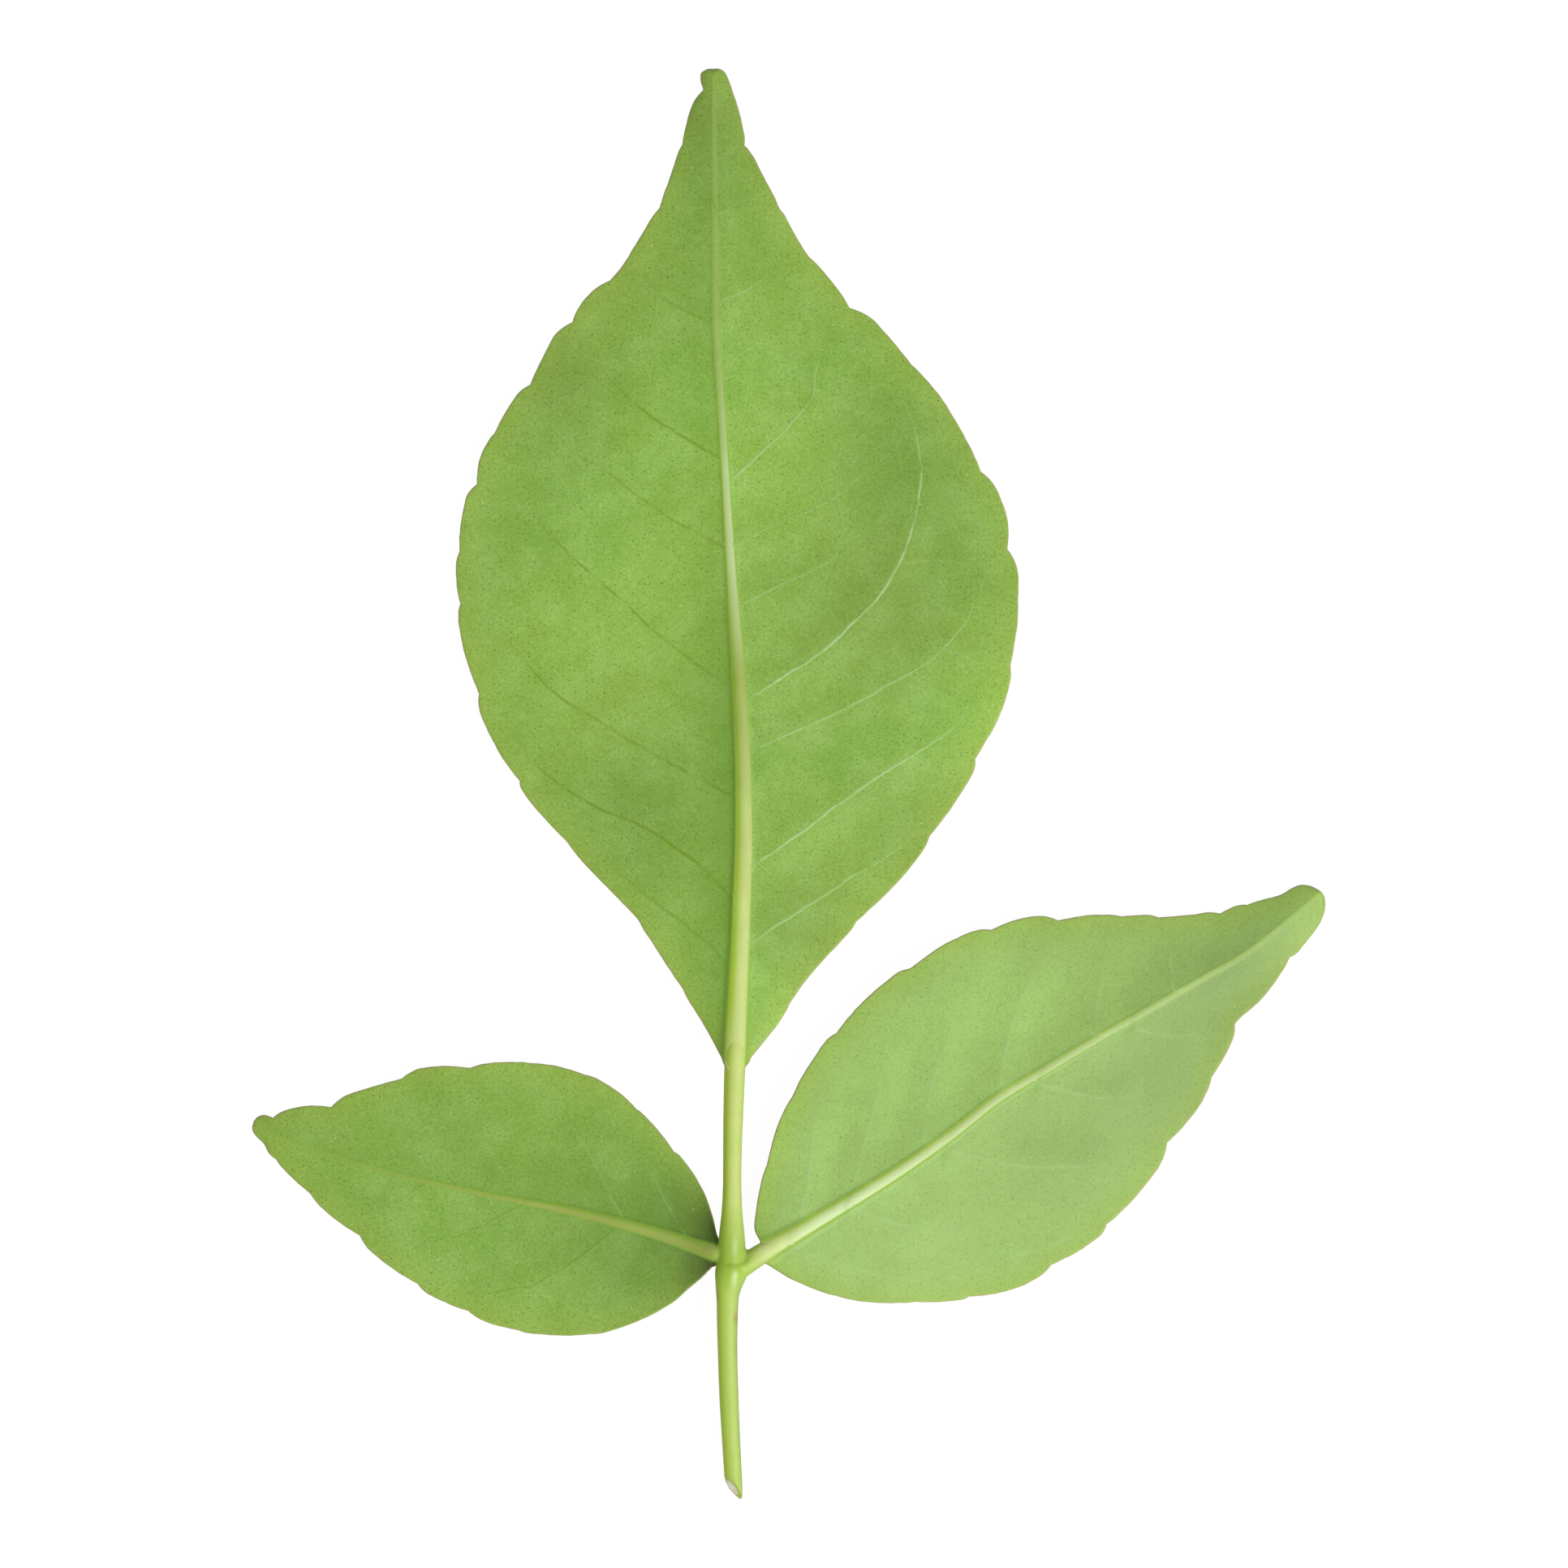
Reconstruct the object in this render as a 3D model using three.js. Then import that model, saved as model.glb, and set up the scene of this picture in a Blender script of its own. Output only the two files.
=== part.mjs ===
// Bael leaf (Aegle marmelos): one cut leaf of three leaflets, lying with its veined underside up.
//
// Frame: millimetres, +Z up. The leaf lies on the plane Z = 0 and the origin is under its middle.
// +Y runs from the stalk's cut end towards the end leaflet's tip.
//
// Each leaflet is drawn in a frame of its own. There y runs from the joint at the top of the leaf
// stalk to the leaflet's tip, x lies to the right of that line, and z is the height above the plane
// that the leaf rests on. Profiles are lists of [y, value] pairs, joined by a smooth curve; the
// notches in a margin are [y, depth] pairs.

import * as THREE from 'three';

// Driving dimensions
const JOINT_HEIGHT = 3.2;         // stalk centre above the resting plane, where the leaflets meet
const BLADE_THICKNESS = 0.35;
const RIM_THICKNESS = 0.22;       // the blade thins towards its margin
const RIB_RISE = 0.85;            // height of the midrib above the blade, as a share of its half width
const VEIN_RISE = 0.16;           // height of a side vein above the blade, beside the midrib
const VEIN_HALF_WIDTH = 0.35;
const TOOTH_CREST = 0.7;          // where a tooth stands out furthest, from its foot, 0, to its tip, 1
const TOOTH_SLOPE = 1.7;          // power of the curve from a tooth's foot to its crest
const TOOTH_DROP = 3;             // and from its crest into the next notch
const LAST_TOOTH = 1.2;            // length past the last notch over which the margin eases out
const WAVE_HEIGHT = 0.22;         // gentle waves along the margin
const WAVE_LENGTH = 19;
const WAVE_FADE_AT_BASE = 8;      // the waves die out over these lengths of margin
const WAVE_FADE_AT_TIP = 12;
const SAME_PLACE = 0.01;
const FIRST_ROW = 0.15;           // the first row across the blade, past its base
const BLADE_ARCH = 1.1;           // power of the blade's fall from midrib to margin
const VEIN_BOW = 0.4;             // how much a side vein bends towards the tip
const BOW_FROM = 8;               // nearer the base than this the veins are straight
const BOW_FULL = 22;              // past this distance from the base they bend fully
const ROW_STEP = 1.6;             // widest spacing of the rows of faces along a midrib
const EDGE_STEP = 1.5;            // and along a margin
const CLOSEST_ROWS = 0.09;        // rows nearer than this to the last one are left out
const STALK_STEP = 1.8;           // spacing of the rings along a leaflet's own stalk
const RIB_COLUMNS = [0, 0.65, 1]; // from the midrib's crest to its foot
const BLADE_COLUMNS = [0.38, 0.8, 1]; // from the midrib's foot to the margin

// The leaf stalk, with its swollen top, where the three leaflets are jointed to it.
// Each ring is [x, y, z, radius], from the cut end to the top.
const STALK_RINGS = [
  [-3.98, -51.38, 0.66, 0.66],
  [-4.05, -50.4, 0.76, 0.66],
  [-4.2, -47.7, 1.2, 0.68],
  [-4.34, -44.9, 1.62, 0.71],
  [-4.45, -41.2, 2.2, 0.73],
  [-4.46, -39, 2.55, 0.78],
  [-4.44, -37.6, 2.82, 0.82],
  [-4.37, -36.8, 2.96, 0.95],
  [-4.25, -36.2, 3.06, 1.1],
  [-4.2, -35.7, 3.13, 1.18],
  [-4.18, -35.25, 3.17, 1.12],
  [-4.18, -34.95, 3.2, 0.95],
];
const STALK_SIDES = 14;
const CUT_SLOPE = -1.15;          // the cut end slants back to the left
const CUT_LEAN = 0.53;            // and leans back towards the top

const LEAFLETS = [
  {
    name: 'terminal_leaflet',
    joint: [-4.06, -34.64],
    turn: -0.98,                  // degrees clockwise from +Y
    start: 0.15,                  // where the leaflet's own stalk begins
    base: 14.6,                   // where the blade begins
    tip: 86.85,
    midrib: [
      [0, -0.08], [3.5, 0], [9, 0.15], [16, 0.5], [24, 1], [32, 1.35], [40, 1.25], [50, 0.75],
      [62, 0.22], [68, -0.1], [75, -0.05], [86.85, 0.05],
    ],
    stalkCentre: [[0, JOINT_HEIGHT], [7, 3.05], [14.6, 2.9]],
    ribRadius: [
      [0, 0.88], [1.8, 0.94], [3.6, 0.76], [6, 0.68], [14.6, 0.78], [22, 0.66], [34, 0.52],
      [43, 0.48], [52, 0.37], [63, 0.3], [79, 0.2], [86.85, 0.1],
    ],
    ridge: [[14.6, 2.62], [30, 2.55], [45, 2.25], [60, 1.55], [75, 0.65], [86.85, 0]],
    sides: {
      left: {
        margin: [
          [14.6, -0.55], [17, -1.8], [21, -4.2], [25, -6.75], [29, -10.35], [36, -15.9],
          [43, -18.55], [50, -19.4], [56, -18.5], [60, -16.8], [66, -12.85], [69, -10.85],
          [73, -6.7], [78, -3.7], [84, -1.65], [85.3, -1.05], [86.1, -0.92], [86.6, -0.82],
          [86.85, -0.35],
        ],
        lift: [
          [14.6, 2.58], [24, 1.9], [35, 1.2], [46, 0.75], [57, 0.8], [68, 0.5], [78, 0.32],
          [86.85, 0],
        ],
        notches: [
          [19.7, 0.12], [24.7, 0.12], [30.5, 0.12], [35.1, 0.35], [41.5, 0.33], [48.1, 0.25],
          [51.9, 0.2], [56.8, 0.55], [60.5, 0.15], [64, 0.5], [68.5, 0.7], [71.5, 0.4],
          [76.7, 0.25], [81.3, 0.2], [85.3, 0.3],
        ],
        veins: [
          [22, 29.5], [26.2, 38.5], [33.5, 45.5], [41.3, 56.2], [51.9, 62], [58.4, 68], [67, 73],
          [73, 77.5], [78.5, 82],
        ],
      },
      right: {
        margin: [
          [14.6, 1.55], [17, 3.55], [21, 6.4], [28, 13.2], [36, 18.65], [42, 21.05], [48, 21.65],
          [54, 20.95], [62, 16.6], [68, 11.7], [73, 6.9], [78, 4.1], [81, 2.6], [84, 1.8],
          [85.4, 1.4], [86.3, 1.05], [86.7, 0.78], [86.85, 0.45],
        ],
        lift: [
          [14.6, 2.58], [24, 2.05], [35, 1.55], [46, 1.25], [57, 0.95], [68, 0.7], [78, 0.38],
          [86.85, 0],
        ],
        notches: [
          [18.5, 0.12], [24.4, 0.35], [30.5, 0.25], [36.1, 0.4], [42.9, 0.25], [51.4, 0.6],
          [57.1, 0.5], [65, 0.2], [69.2, 0.9], [73, 0.15], [76.5, 0.12], [81.2, 0.3],
        ],
        veins: [
          [22.6, 32.5], [28.4, 41.5], [37, 48], [40.7, 57], [51.9, 61.8], [56.5, 68.5], [69.8, 73.8],
          [76.1, 78.8],
        ],
      },
    },
  },
  {
    name: 'right_leaflet',
    joint: [-4.06, -34.99],
    turn: 57.9,
    start: 1.5,
    base: 2,
    tip: 50.8,
    midrib: [
      [0, 0.55], [2.3, 0.48], [5, 0.6], [9, 0.7], [13, 0.76], [17, 0.62], [20, 0.36],
      [22.5, 0.1], [26, 0.13], [31, 0.26], [35, 0.43], [40, 0.62], [43.5, 0.78], [46.5, 0.5],
      [50.8, -0.1],
    ],
    stalkCentre: [[0, JOINT_HEIGHT], [2, 3.1]],
    ribRadius: [
      [0, 0.8], [2.3, 0.76], [4, 0.64], [9, 0.5], [22, 0.36], [34, 0.26], [45, 0.18],
      [50.8, 0.12],
    ],
    ridge: [[2, 2.82], [10, 2.5], [25, 1.95], [40, 1], [50.8, 0]],
    sides: {
      left: {
        margin: [
          [2, -0.7], [2.5, -1.3], [3, -1.85], [5.5, -4.55], [9, -7.45], [13, -9.6],
          [18, -11.15], [23.5, -11.65], [28, -11.15], [32, -9.8], [37, -6.8], [42, -3.7],
          [46, -2.2], [49, -1.55], [50.8, -0.5],
        ],
        lift: [[2, 2.8], [12, 1.9], [23, 1.3], [33, 0.85], [42, 0.4], [50.8, 0]],
        notches: [
          [5.9, 0.15], [10.1, 0.12], [15.3, 0.25], [22.4, 0.3], [28.9, 0.35], [33.4, 0.5],
          [37.5, 0.15], [39.7, 0.2], [43.7, 0.3], [45.7, 0.12],
        ],
        veins: [
          [4.9, 14.2], [10, 20.6], [15.8, 26.6], [22.5, 34], [30.7, 38.6], [37.5, 42], [43.5, 46.5],
        ],
      },
      right: {
        margin: [
          [2, 1.2], [2.3, 1.8], [3, 3.2], [5.5, 6.5], [9, 9.05], [13, 11.3], [16.5, 12.55],
          [20.5, 12.7], [25, 12.4], [30, 10.6], [35, 8.4], [38, 6.6], [40.5, 5.05], [43, 4.25],
          [46, 3.05], [49, 1.7], [50.8, 0.6],
        ],
        lift: [[2, 2.75], [8, 1.8], [14, 1.1], [22, 0.65], [32, 0.5], [42, 0.4], [50.8, 0]],
        notches: [
          [5.1, 0.12], [9.8, 0.12], [13.3, 0.25], [19.6, 0.25], [24.6, 0.4], [31.5, 0.6],
          [36.8, 0.25], [40.3, 0.45], [46.3, 0.25],
        ],
        veins: [[3.4, 12.6], [8.4, 19.5], [16.8, 28.6], [23.6, 35], [30.2, 40], [36.8, 44], [43, 47.5]],
      },
    },
  },
  {
    name: 'left_leaflet',
    joint: [-4.36, -34.64],
    turn: -74.57,
    start: 0.8,
    base: 1,
    tip: 36.1,
    midrib: [[0, 0.1], [6, 0.4], [12, 0.3], [18, -0.12], [24, -0.43], [30, -0.42], [36.1, 0.1]],
    stalkCentre: [[0, JOINT_HEIGHT], [1, 3.05]],
    ribRadius: [
      [0, 0.62], [1, 0.58], [3, 0.48], [5, 0.42], [11, 0.3], [18, 0.18], [27, 0.12],
      [36.1, 0.08],
    ],
    ridge: [[1, 2.75], [1.7, 2.5], [3.2, 1.95], [5.5, 1.6], [9, 1.4], [24, 0.85], [36.1, 0]],
    sides: {
      left: {
        margin: [
          [1, -0.88], [1.5, -1.8], [2.3, -3], [3.1, -4.2], [5.5, -6.45], [8, -8], [11, -8.9],
          [14, -9.3], [18, -8.9], [22, -7.9], [26, -6.15], [30, -4.15], [33, -2.5], [36.1, -0.4],
        ],
        lift: [
          [1, 2.75], [1.7, 2.35], [3.2, 1.7], [5.5, 1.15], [9, 0.75], [15, 0.5], [25, 0.4],
          [36.1, 0],
        ],
        notches: [
          [8.3, 0.12], [13.4, 0.12], [17.3, 0.22], [21.4, 0.25], [26.4, 0.4], [30.7, 0.15],
          [33.8, 0.15],
        ],
        veins: [[3.1, 11.5], [8.3, 18.6], [15, 24.4], [21.5, 29.3], [27.8, 33]],
      },
      right: {
        margin: [
          [1, 1.15], [1.3, 1.5], [1.9, 2.6], [3.1, 4.3], [5.5, 6.35], [8, 8], [11, 9.6],
          [14.5, 10.3], [18, 9.85], [22, 8.7], [25.5, 7.3], [28, 5.5], [30.5, 3.8], [33, 2.45],
          [35.2, 1.3], [36.1, 0.55],
        ],
        lift: [
          [1, 2.75], [1.7, 2.3], [3.2, 1.65], [5.5, 1.25], [9, 1], [15, 0.85], [25, 0.6],
          [36.1, 0],
        ],
        notches: [
          [5.9, 0.2], [9.4, 0.12], [13.7, 0.12], [21.9, 0.4], [26.5, 0.35], [30.9, 0.65],
          [34.8, 0.4],
        ],
        veins: [[2.9, 11], [7.6, 17.6], [15.9, 25.2], [21.8, 29.8], [27.4, 32.8]],
      },
    },
  },
];

const blade = { colour: '#84ab4c', roughness: 0.55 };
const stalk = { colour: '#adc45f', roughness: 0.5 };

// The value of a profile at y: a cubic through its pairs, with even slopes across each pair.
function along(profile, y) {
  const last = profile.length - 1;
  let i = 0;
  while (i < last - 1 && y > profile[i + 1][0]) i += 1;
  const [y0, v0] = profile[i];
  const [y1, v1] = profile[i + 1];
  const gap = y1 - y0;
  const slopeAt = (k) => {
    const before = profile[Math.max(k - 1, 0)];
    const after = profile[Math.min(k + 1, last)];
    return (after[1] - before[1]) / (after[0] - before[0]);
  };
  const t = THREE.MathUtils.clamp((y - y0) / gap, 0, 1);
  const rise = v1 - v0;
  const bendIn = slopeAt(i) * gap - rise;
  const bendOut = rise - slopeAt(i + 1) * gap;
  return v0 + rise * t + t * (1 - t) * (bendIn * (1 - t) + bendOut * t);
}

// How far the margin is set in at y. A tooth slopes out from each notch to its crest, then drops
// into the next notch. The margin eases in before the first notch, and out again past the last.
function notchDepth(notches, y) {
  const firstTooth = notches[1][0] - notches[0][0];
  const ends = [[notches[0][0] - firstTooth, 0], ...notches, [notches.at(-1)[0] + LAST_TOOTH, 0]];
  const next = ends.findIndex((end) => end[0] > y);
  if (next < 1) return 0;
  const [from, depthBefore] = ends[next - 1];
  const [to, depthAfter] = ends[next];
  const place = (y - from) / (to - from);
  if (place < TOOTH_CREST) return depthBefore * Math.pow(1 - place / TOOTH_CREST, TOOTH_SLOPE);
  return depthAfter * Math.pow((place - TOOTH_CREST) / (1 - TOOTH_CREST), TOOTH_DROP);
}

// Where the row that leaves the midrib at y meets the margin: side veins run obliquely to the tip.
function rowEnd(leaflet, side, y) {
  const ends = [[leaflet.base, leaflet.base], ...side.veins, [leaflet.tip, leaflet.tip]];
  return along(ends, y);
}

// Height that the waves add to the margin at y.
function marginWave(leaflet, y) {
  const fade = Math.min(1, (y - leaflet.base) / WAVE_FADE_AT_BASE, (leaflet.tip - y) / WAVE_FADE_AT_TIP);
  return fade * WAVE_HEIGHT * Math.sin((2 * Math.PI * y) / WAVE_LENGTH);
}

// Height of the blade's lower face at a place on one side of the midrib: it falls from the ridge
// under the midrib to the margin.
function bladeHeight(leaflet, sideName, x, y) {
  const side = leaflet.sides[sideName];
  const outward = sideName === 'left' ? -1 : 1;
  const foot = along(leaflet.midrib, y) + outward * along(leaflet.ribRadius, y);
  const share = THREE.MathUtils.clamp((x - foot) / (along(side.margin, y) - foot), 0, 1);
  const ridge = along(leaflet.ridge, y);
  const lift = Math.max(0, along(side.lift, y) + marginWave(leaflet, y));
  return ridge + (lift - ridge) * Math.pow(share, BLADE_ARCH);
}

// One point of the blade's lower face. The row leaves the midrib at y; share runs from the
// midrib's foot, 0, to the margin, 1.
function bladePoint(leaflet, sideName, y, share) {
  const side = leaflet.sides[sideName];
  const outward = sideName === 'left' ? -1 : 1;
  const foot = along(leaflet.midrib, y) + outward * along(leaflet.ribRadius, y);
  const endY = rowEnd(leaflet, side, y);
  const edge = along(side.margin, endY) - outward * notchDepth(side.notches, endY);
  const pointX = foot + (edge - foot) * share;
  const bow = VEIN_BOW * THREE.MathUtils.smoothstep(y - leaflet.base, BOW_FROM, BOW_FULL);
  const pointY = y + (endY - y) * share * (1 - bow + bow * share);
  return new THREE.Vector3(pointX, pointY, bladeHeight(leaflet, sideName, pointX, pointY));
}

// The closed outline of a leaflet across its midrib at y, where it has a blade: the upper face from
// left to right, then the lower face back again.
function bladeSection(leaflet, y) {
  const centre = along(leaflet.midrib, y);
  const radius = along(leaflet.ribRadius, y);
  const halves = {};
  for (const sideName of ['left', 'right']) {
    const outward = sideName === 'left' ? -1 : 1;
    const isVein = leaflet.sides[sideName].veins.some(([start]) => Math.abs(start - y) < SAME_PLACE);
    const under = [];
    const over = [];
    for (const share of RIB_COLUMNS) {
      const low = new THREE.Vector3(centre + outward * radius * share, y, along(leaflet.ridge, y));
      const rise = radius * RIB_RISE * Math.sqrt(1 - share * share);
      under.push(low);
      over.push(low.clone().setZ(low.z + BLADE_THICKNESS + rise));
    }
    for (const share of BLADE_COLUMNS) {
      const low = bladePoint(leaflet, sideName, y, share);
      const thickness = THREE.MathUtils.lerp(BLADE_THICKNESS, RIM_THICKNESS, share);
      const vein = isVein ? VEIN_RISE * (1 - share) : 0;
      under.push(low);
      over.push(low.clone().setZ(low.z + thickness + vein));
    }
    halves[sideName] = { under, over };
  }
  return [
    ...halves.left.over.slice(1).reverse(),
    ...halves.right.over,
    ...halves.right.under.slice().reverse(),
    ...halves.left.under.slice(1),
  ];
}

// The round outline of a leaflet's own stalk at y, with as many points as a blade section.
function stalkSection(leaflet, y) {
  const centre = along(leaflet.midrib, y);
  const height = along(leaflet.stalkCentre, y);
  const radius = along(leaflet.ribRadius, y);
  const columns = RIB_COLUMNS.length + BLADE_COLUMNS.length - 1;
  const ring = [];
  for (const [first, step, up] of [[-columns, 1, 1], [columns, -1, -1]]) {
    for (let i = 0; i <= 2 * columns; i += 1) {
      const lean = ((first + i * step) / (columns + 0.5)) * (Math.PI / 2);
      const across = radius * Math.sin(lean);
      ring.push(new THREE.Vector3(centre + across, y, height + up * radius * Math.cos(lean)));
    }
  }
  return ring;
}

// The places along a leaflet's midrib that get a row: every side vein with its two flanks, and
// even steps between them.
function rowPlaces(leaflet) {
  const fixed = [leaflet.base + FIRST_ROW, leaflet.tip];
  for (const side of Object.values(leaflet.sides)) {
    for (const [start] of side.veins) fixed.push(start - VEIN_HALF_WIDTH, start, start + VEIN_HALF_WIDTH);
  }
  fixed.sort((a, b) => a - b);
  const kept = fixed.filter((y, i) => i === 0 || y - fixed[i - 1] > CLOSEST_ROWS);
  const places = [kept[0]];
  for (let i = 1; i < kept.length; i += 1) {
    const edgeGap = Math.max(...Object.values(leaflet.sides).map(
      (side) => rowEnd(leaflet, side, kept[i]) - rowEnd(leaflet, side, kept[i - 1]),
    ));
    const steps = Math.ceil(Math.max((kept[i] - kept[i - 1]) / ROW_STEP, edgeGap / EDGE_STEP));
    for (let k = 1; k <= steps; k += 1) {
      places.push(THREE.MathUtils.lerp(kept[i - 1], kept[i], k / steps));
    }
  }
  return places;
}

// A closed solid through a run of closed outlines, each with the same number of points, with a
// flat fan over each end. Seen from above, the squares of the upper face, the first half of each
// outline, and of the lower face are split along the same diagonal, so a thin blade stays even.
function loft(sections) {
  const count = sections[0].length;
  const points = sections.flat();
  const index = [];
  for (let row = 0; row + 1 < sections.length; row += 1) {
    for (let i = 0; i < count; i += 1) {
      const a = row * count + i;
      const b = row * count + ((i + 1) % count);
      if (i < count / 2) index.push(a, b, a + count, b, b + count, a + count);
      else index.push(a, b, b + count, a, b + count, a + count);
    }
  }
  for (const [row, forward] of [[0, true], [sections.length - 1, false]]) {
    const middle = new THREE.Vector3();
    for (const point of sections[row]) middle.addScaledVector(point, 1 / count);
    points.push(middle);
    for (let i = 0; i < count; i += 1) {
      const a = row * count + i;
      const b = row * count + ((i + 1) % count);
      index.push(points.length - 1, forward ? b : a, forward ? a : b);
    }
  }
  const geometry = new THREE.BufferGeometry().setFromPoints(points);
  geometry.setIndex(index);
  geometry.computeVertexNormals();
  return geometry;
}

function leafMesh(name, geometry, finish) {
  const material = new THREE.MeshStandardMaterial({
    color: finish.colour,
    roughness: finish.roughness,
    metalness: 0,
  });
  const mesh = new THREE.Mesh(geometry, material);
  mesh.name = name;
  return mesh;
}

function makeLeaflet(leaflet) {
  const stalkSteps = Math.max(1, Math.round((leaflet.base - leaflet.start) / STALK_STEP));
  const sections = [];
  for (let i = 0; i <= stalkSteps; i += 1) {
    const y = THREE.MathUtils.lerp(leaflet.start, leaflet.base, i / stalkSteps);
    sections.push(stalkSection(leaflet, y));
  }
  for (const y of rowPlaces(leaflet)) sections.push(bladeSection(leaflet, y));
  const mesh = leafMesh(leaflet.name, loft(sections), blade);
  mesh.position.set(leaflet.joint[0], leaflet.joint[1], 0);
  mesh.rotation.z = -THREE.MathUtils.degToRad(leaflet.turn);
  return mesh;
}

function makePetiole() {
  const sections = STALK_RINGS.map(([x, y, z, radius], row) => {
    const ring = [];
    for (let i = 0; i < STALK_SIDES; i += 1) {
      const angle = (-2 * Math.PI * i) / STALK_SIDES;
      const across = radius * Math.cos(angle);
      const up = radius * Math.sin(angle);
      const slant = row === 0 ? CUT_SLOPE * across + CUT_LEAN * up : 0;
      ring.push(new THREE.Vector3(x + across, y + slant, z + up));
    }
    return ring;
  });
  return leafMesh('petiole', loft(sections), stalk);
}

const baelLeaf = new THREE.Group();
baelLeaf.name = 'bael_leaf';
baelLeaf.add(makePetiole());
for (const leaflet of LEAFLETS) baelLeaf.add(makeLeaflet(leaflet));

export default baelLeaf;
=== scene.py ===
"""Bael leaf, Aegle marmelos: one cut leaf of three leaflets, lying with its veined underside up.

Tables and shapes are in millimetres. Each leaflet is drawn in a frame of its own, where y runs
from the joint at the top of the leaf stalk to the leaflet's tip, x lies to the right of that line
and z is the height above the resting plane. Profiles are lists of [y, value] pairs.
"""

import math

import bpy
import numpy as np
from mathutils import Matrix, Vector, kdtree, noise
from mathutils.geometry import delaunay_2d_cdt


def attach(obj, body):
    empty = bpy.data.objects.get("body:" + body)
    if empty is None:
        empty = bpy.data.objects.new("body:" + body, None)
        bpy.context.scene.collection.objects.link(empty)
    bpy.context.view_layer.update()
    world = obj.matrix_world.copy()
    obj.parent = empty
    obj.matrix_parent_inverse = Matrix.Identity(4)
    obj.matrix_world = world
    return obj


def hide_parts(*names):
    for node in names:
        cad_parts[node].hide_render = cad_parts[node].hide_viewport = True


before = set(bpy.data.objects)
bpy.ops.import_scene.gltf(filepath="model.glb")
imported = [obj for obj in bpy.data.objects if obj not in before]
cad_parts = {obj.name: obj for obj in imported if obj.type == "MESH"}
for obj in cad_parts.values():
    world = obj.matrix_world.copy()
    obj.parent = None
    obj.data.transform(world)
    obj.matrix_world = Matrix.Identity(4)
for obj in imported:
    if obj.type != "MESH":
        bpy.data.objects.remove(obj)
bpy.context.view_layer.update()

MM = 0.001
SIDES = (("left", -1), ("right", 1))

# Shape of a leaflet, as in the solids
JOINT_HEIGHT = 3.2
BLADE_THICKNESS = 0.35
RIM_THICKNESS = 0.22
RIB_RISE = 0.85
TOOTH_CREST = 0.7
TOOTH_SLOPE = 1.7
TOOTH_DROP = 3
LAST_TOOTH = 1.2
WAVE_HEIGHT = 0.22
WAVE_LENGTH = 19
WAVE_FADE_AT_BASE = 8
WAVE_FADE_AT_TIP = 12
BLADE_ARCH = 1.1

# Relief that the solids leave out. Pairs are a value's start and end
FOOT_INSET = 0.6        # the blade's foot ends inside the stalk, at this share of its radius
RIB_FILLET = 1.7        # the midrib's flank meets the blade at this many half widths
RIB_SHOULDER = 0.72     # its round crest reaches this far
RIB_GROOVE = 0.12       # depth of the groove over the midrib, on the other face
GROOVE_RADIUS = 0.5     # a midrib slimmer than this has a shallower groove
RIB_SINK = [[0, 0.9], [0.3, 0.7], [0.5, 0.6], [0.75, 0.38], [1, 0.2]]  # what its rise keeps
RIB_SWELL = (0.1, 0.26)  # the blade also swells towards the midrib, more so near the tip
RIB_SWELL_WIDTH = 1.9
VEIN_RISE = (0.06, 0.025)  # height of a strong side vein at its start and at its end
VEIN_HALF = (0.16, 0.09)   # half its width there
VEIN_SLIM = (0.6, 1)    # share of that width, from a faint vein to a strong one
VEIN_INK = (0.1, 1)     # how much it is coloured, from a faint vein to a strong one
VEIN_EDGE = 1.35        # its colour ends at this many half widths
SHEENED_VEIN_WIDTH = (1, 1.5)  # a leaflet with a painted sheen has its side veins this much wider
SHEENED_VEIN_RISE = (1, 0.4)  # and lower
VEIN_LEAD = 0.07        # first share of a vein, over which it comes up out of the blade
VEIN_FADE = 0.35        # last share, over which it dies out
VEIN_KINKS = ((0.1, 1.7), (0.045, 0.55))  # size and spacing of its small kinks
KINK_SEED = 9.5
KINK_LEAD = 4           # points at its start that keep nearer to the smooth line
SHOULDER_RISE = 0.26    # the blade swells towards its side veins
SHOULDER_WIDTH = 1.35
SHOULDER_END = 4        # power by which the swelling ends towards the margin
UNEVENNESS = ((0.13, 11), (0.02, 1.9))  # height and length of slow swells and fine puckers
EVEN_SHARE = 0.25       # a blade is even near its midrib, to this share of the way to its margin
EVEN_TIP = 6            # and over this length at its tip
FRAYS = ((0.06, 1.5), (0.03, 0.45))  # size and spacing of the margin's small wear
FRAY_SEED = (4.5, 0.5)
FRAY_FADE = (3, 0.8)    # it fades over these lengths at the base and at the tip

# Colours across the midrib, in half widths from its middle, and beside it
FLANK_LIME = (0.6, 0.4)  # painted shade: how fast its shaded flank turns lime, and how lime its middle is
CREST_EDGE = 0.3        # softness of its pale crest
LIME_START = 0.05       # a lime tint, painted shade, covers the shaded half of the crest from here
LIME_EDGE = 0.5         # and comes in over this width
LIME_LEAD = (12, 0.2)   # along the midrib it comes in this fast, from this level
RIB_SHADOW = ((0.45, 2.4), (0.35, 0.45))  # strengths and reaches of the painted shadow beside it, on its shaded side
RIB_SHADOW_EDGE = (0.15, 0.7)  # softness and level of its start at the midrib's foot

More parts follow.
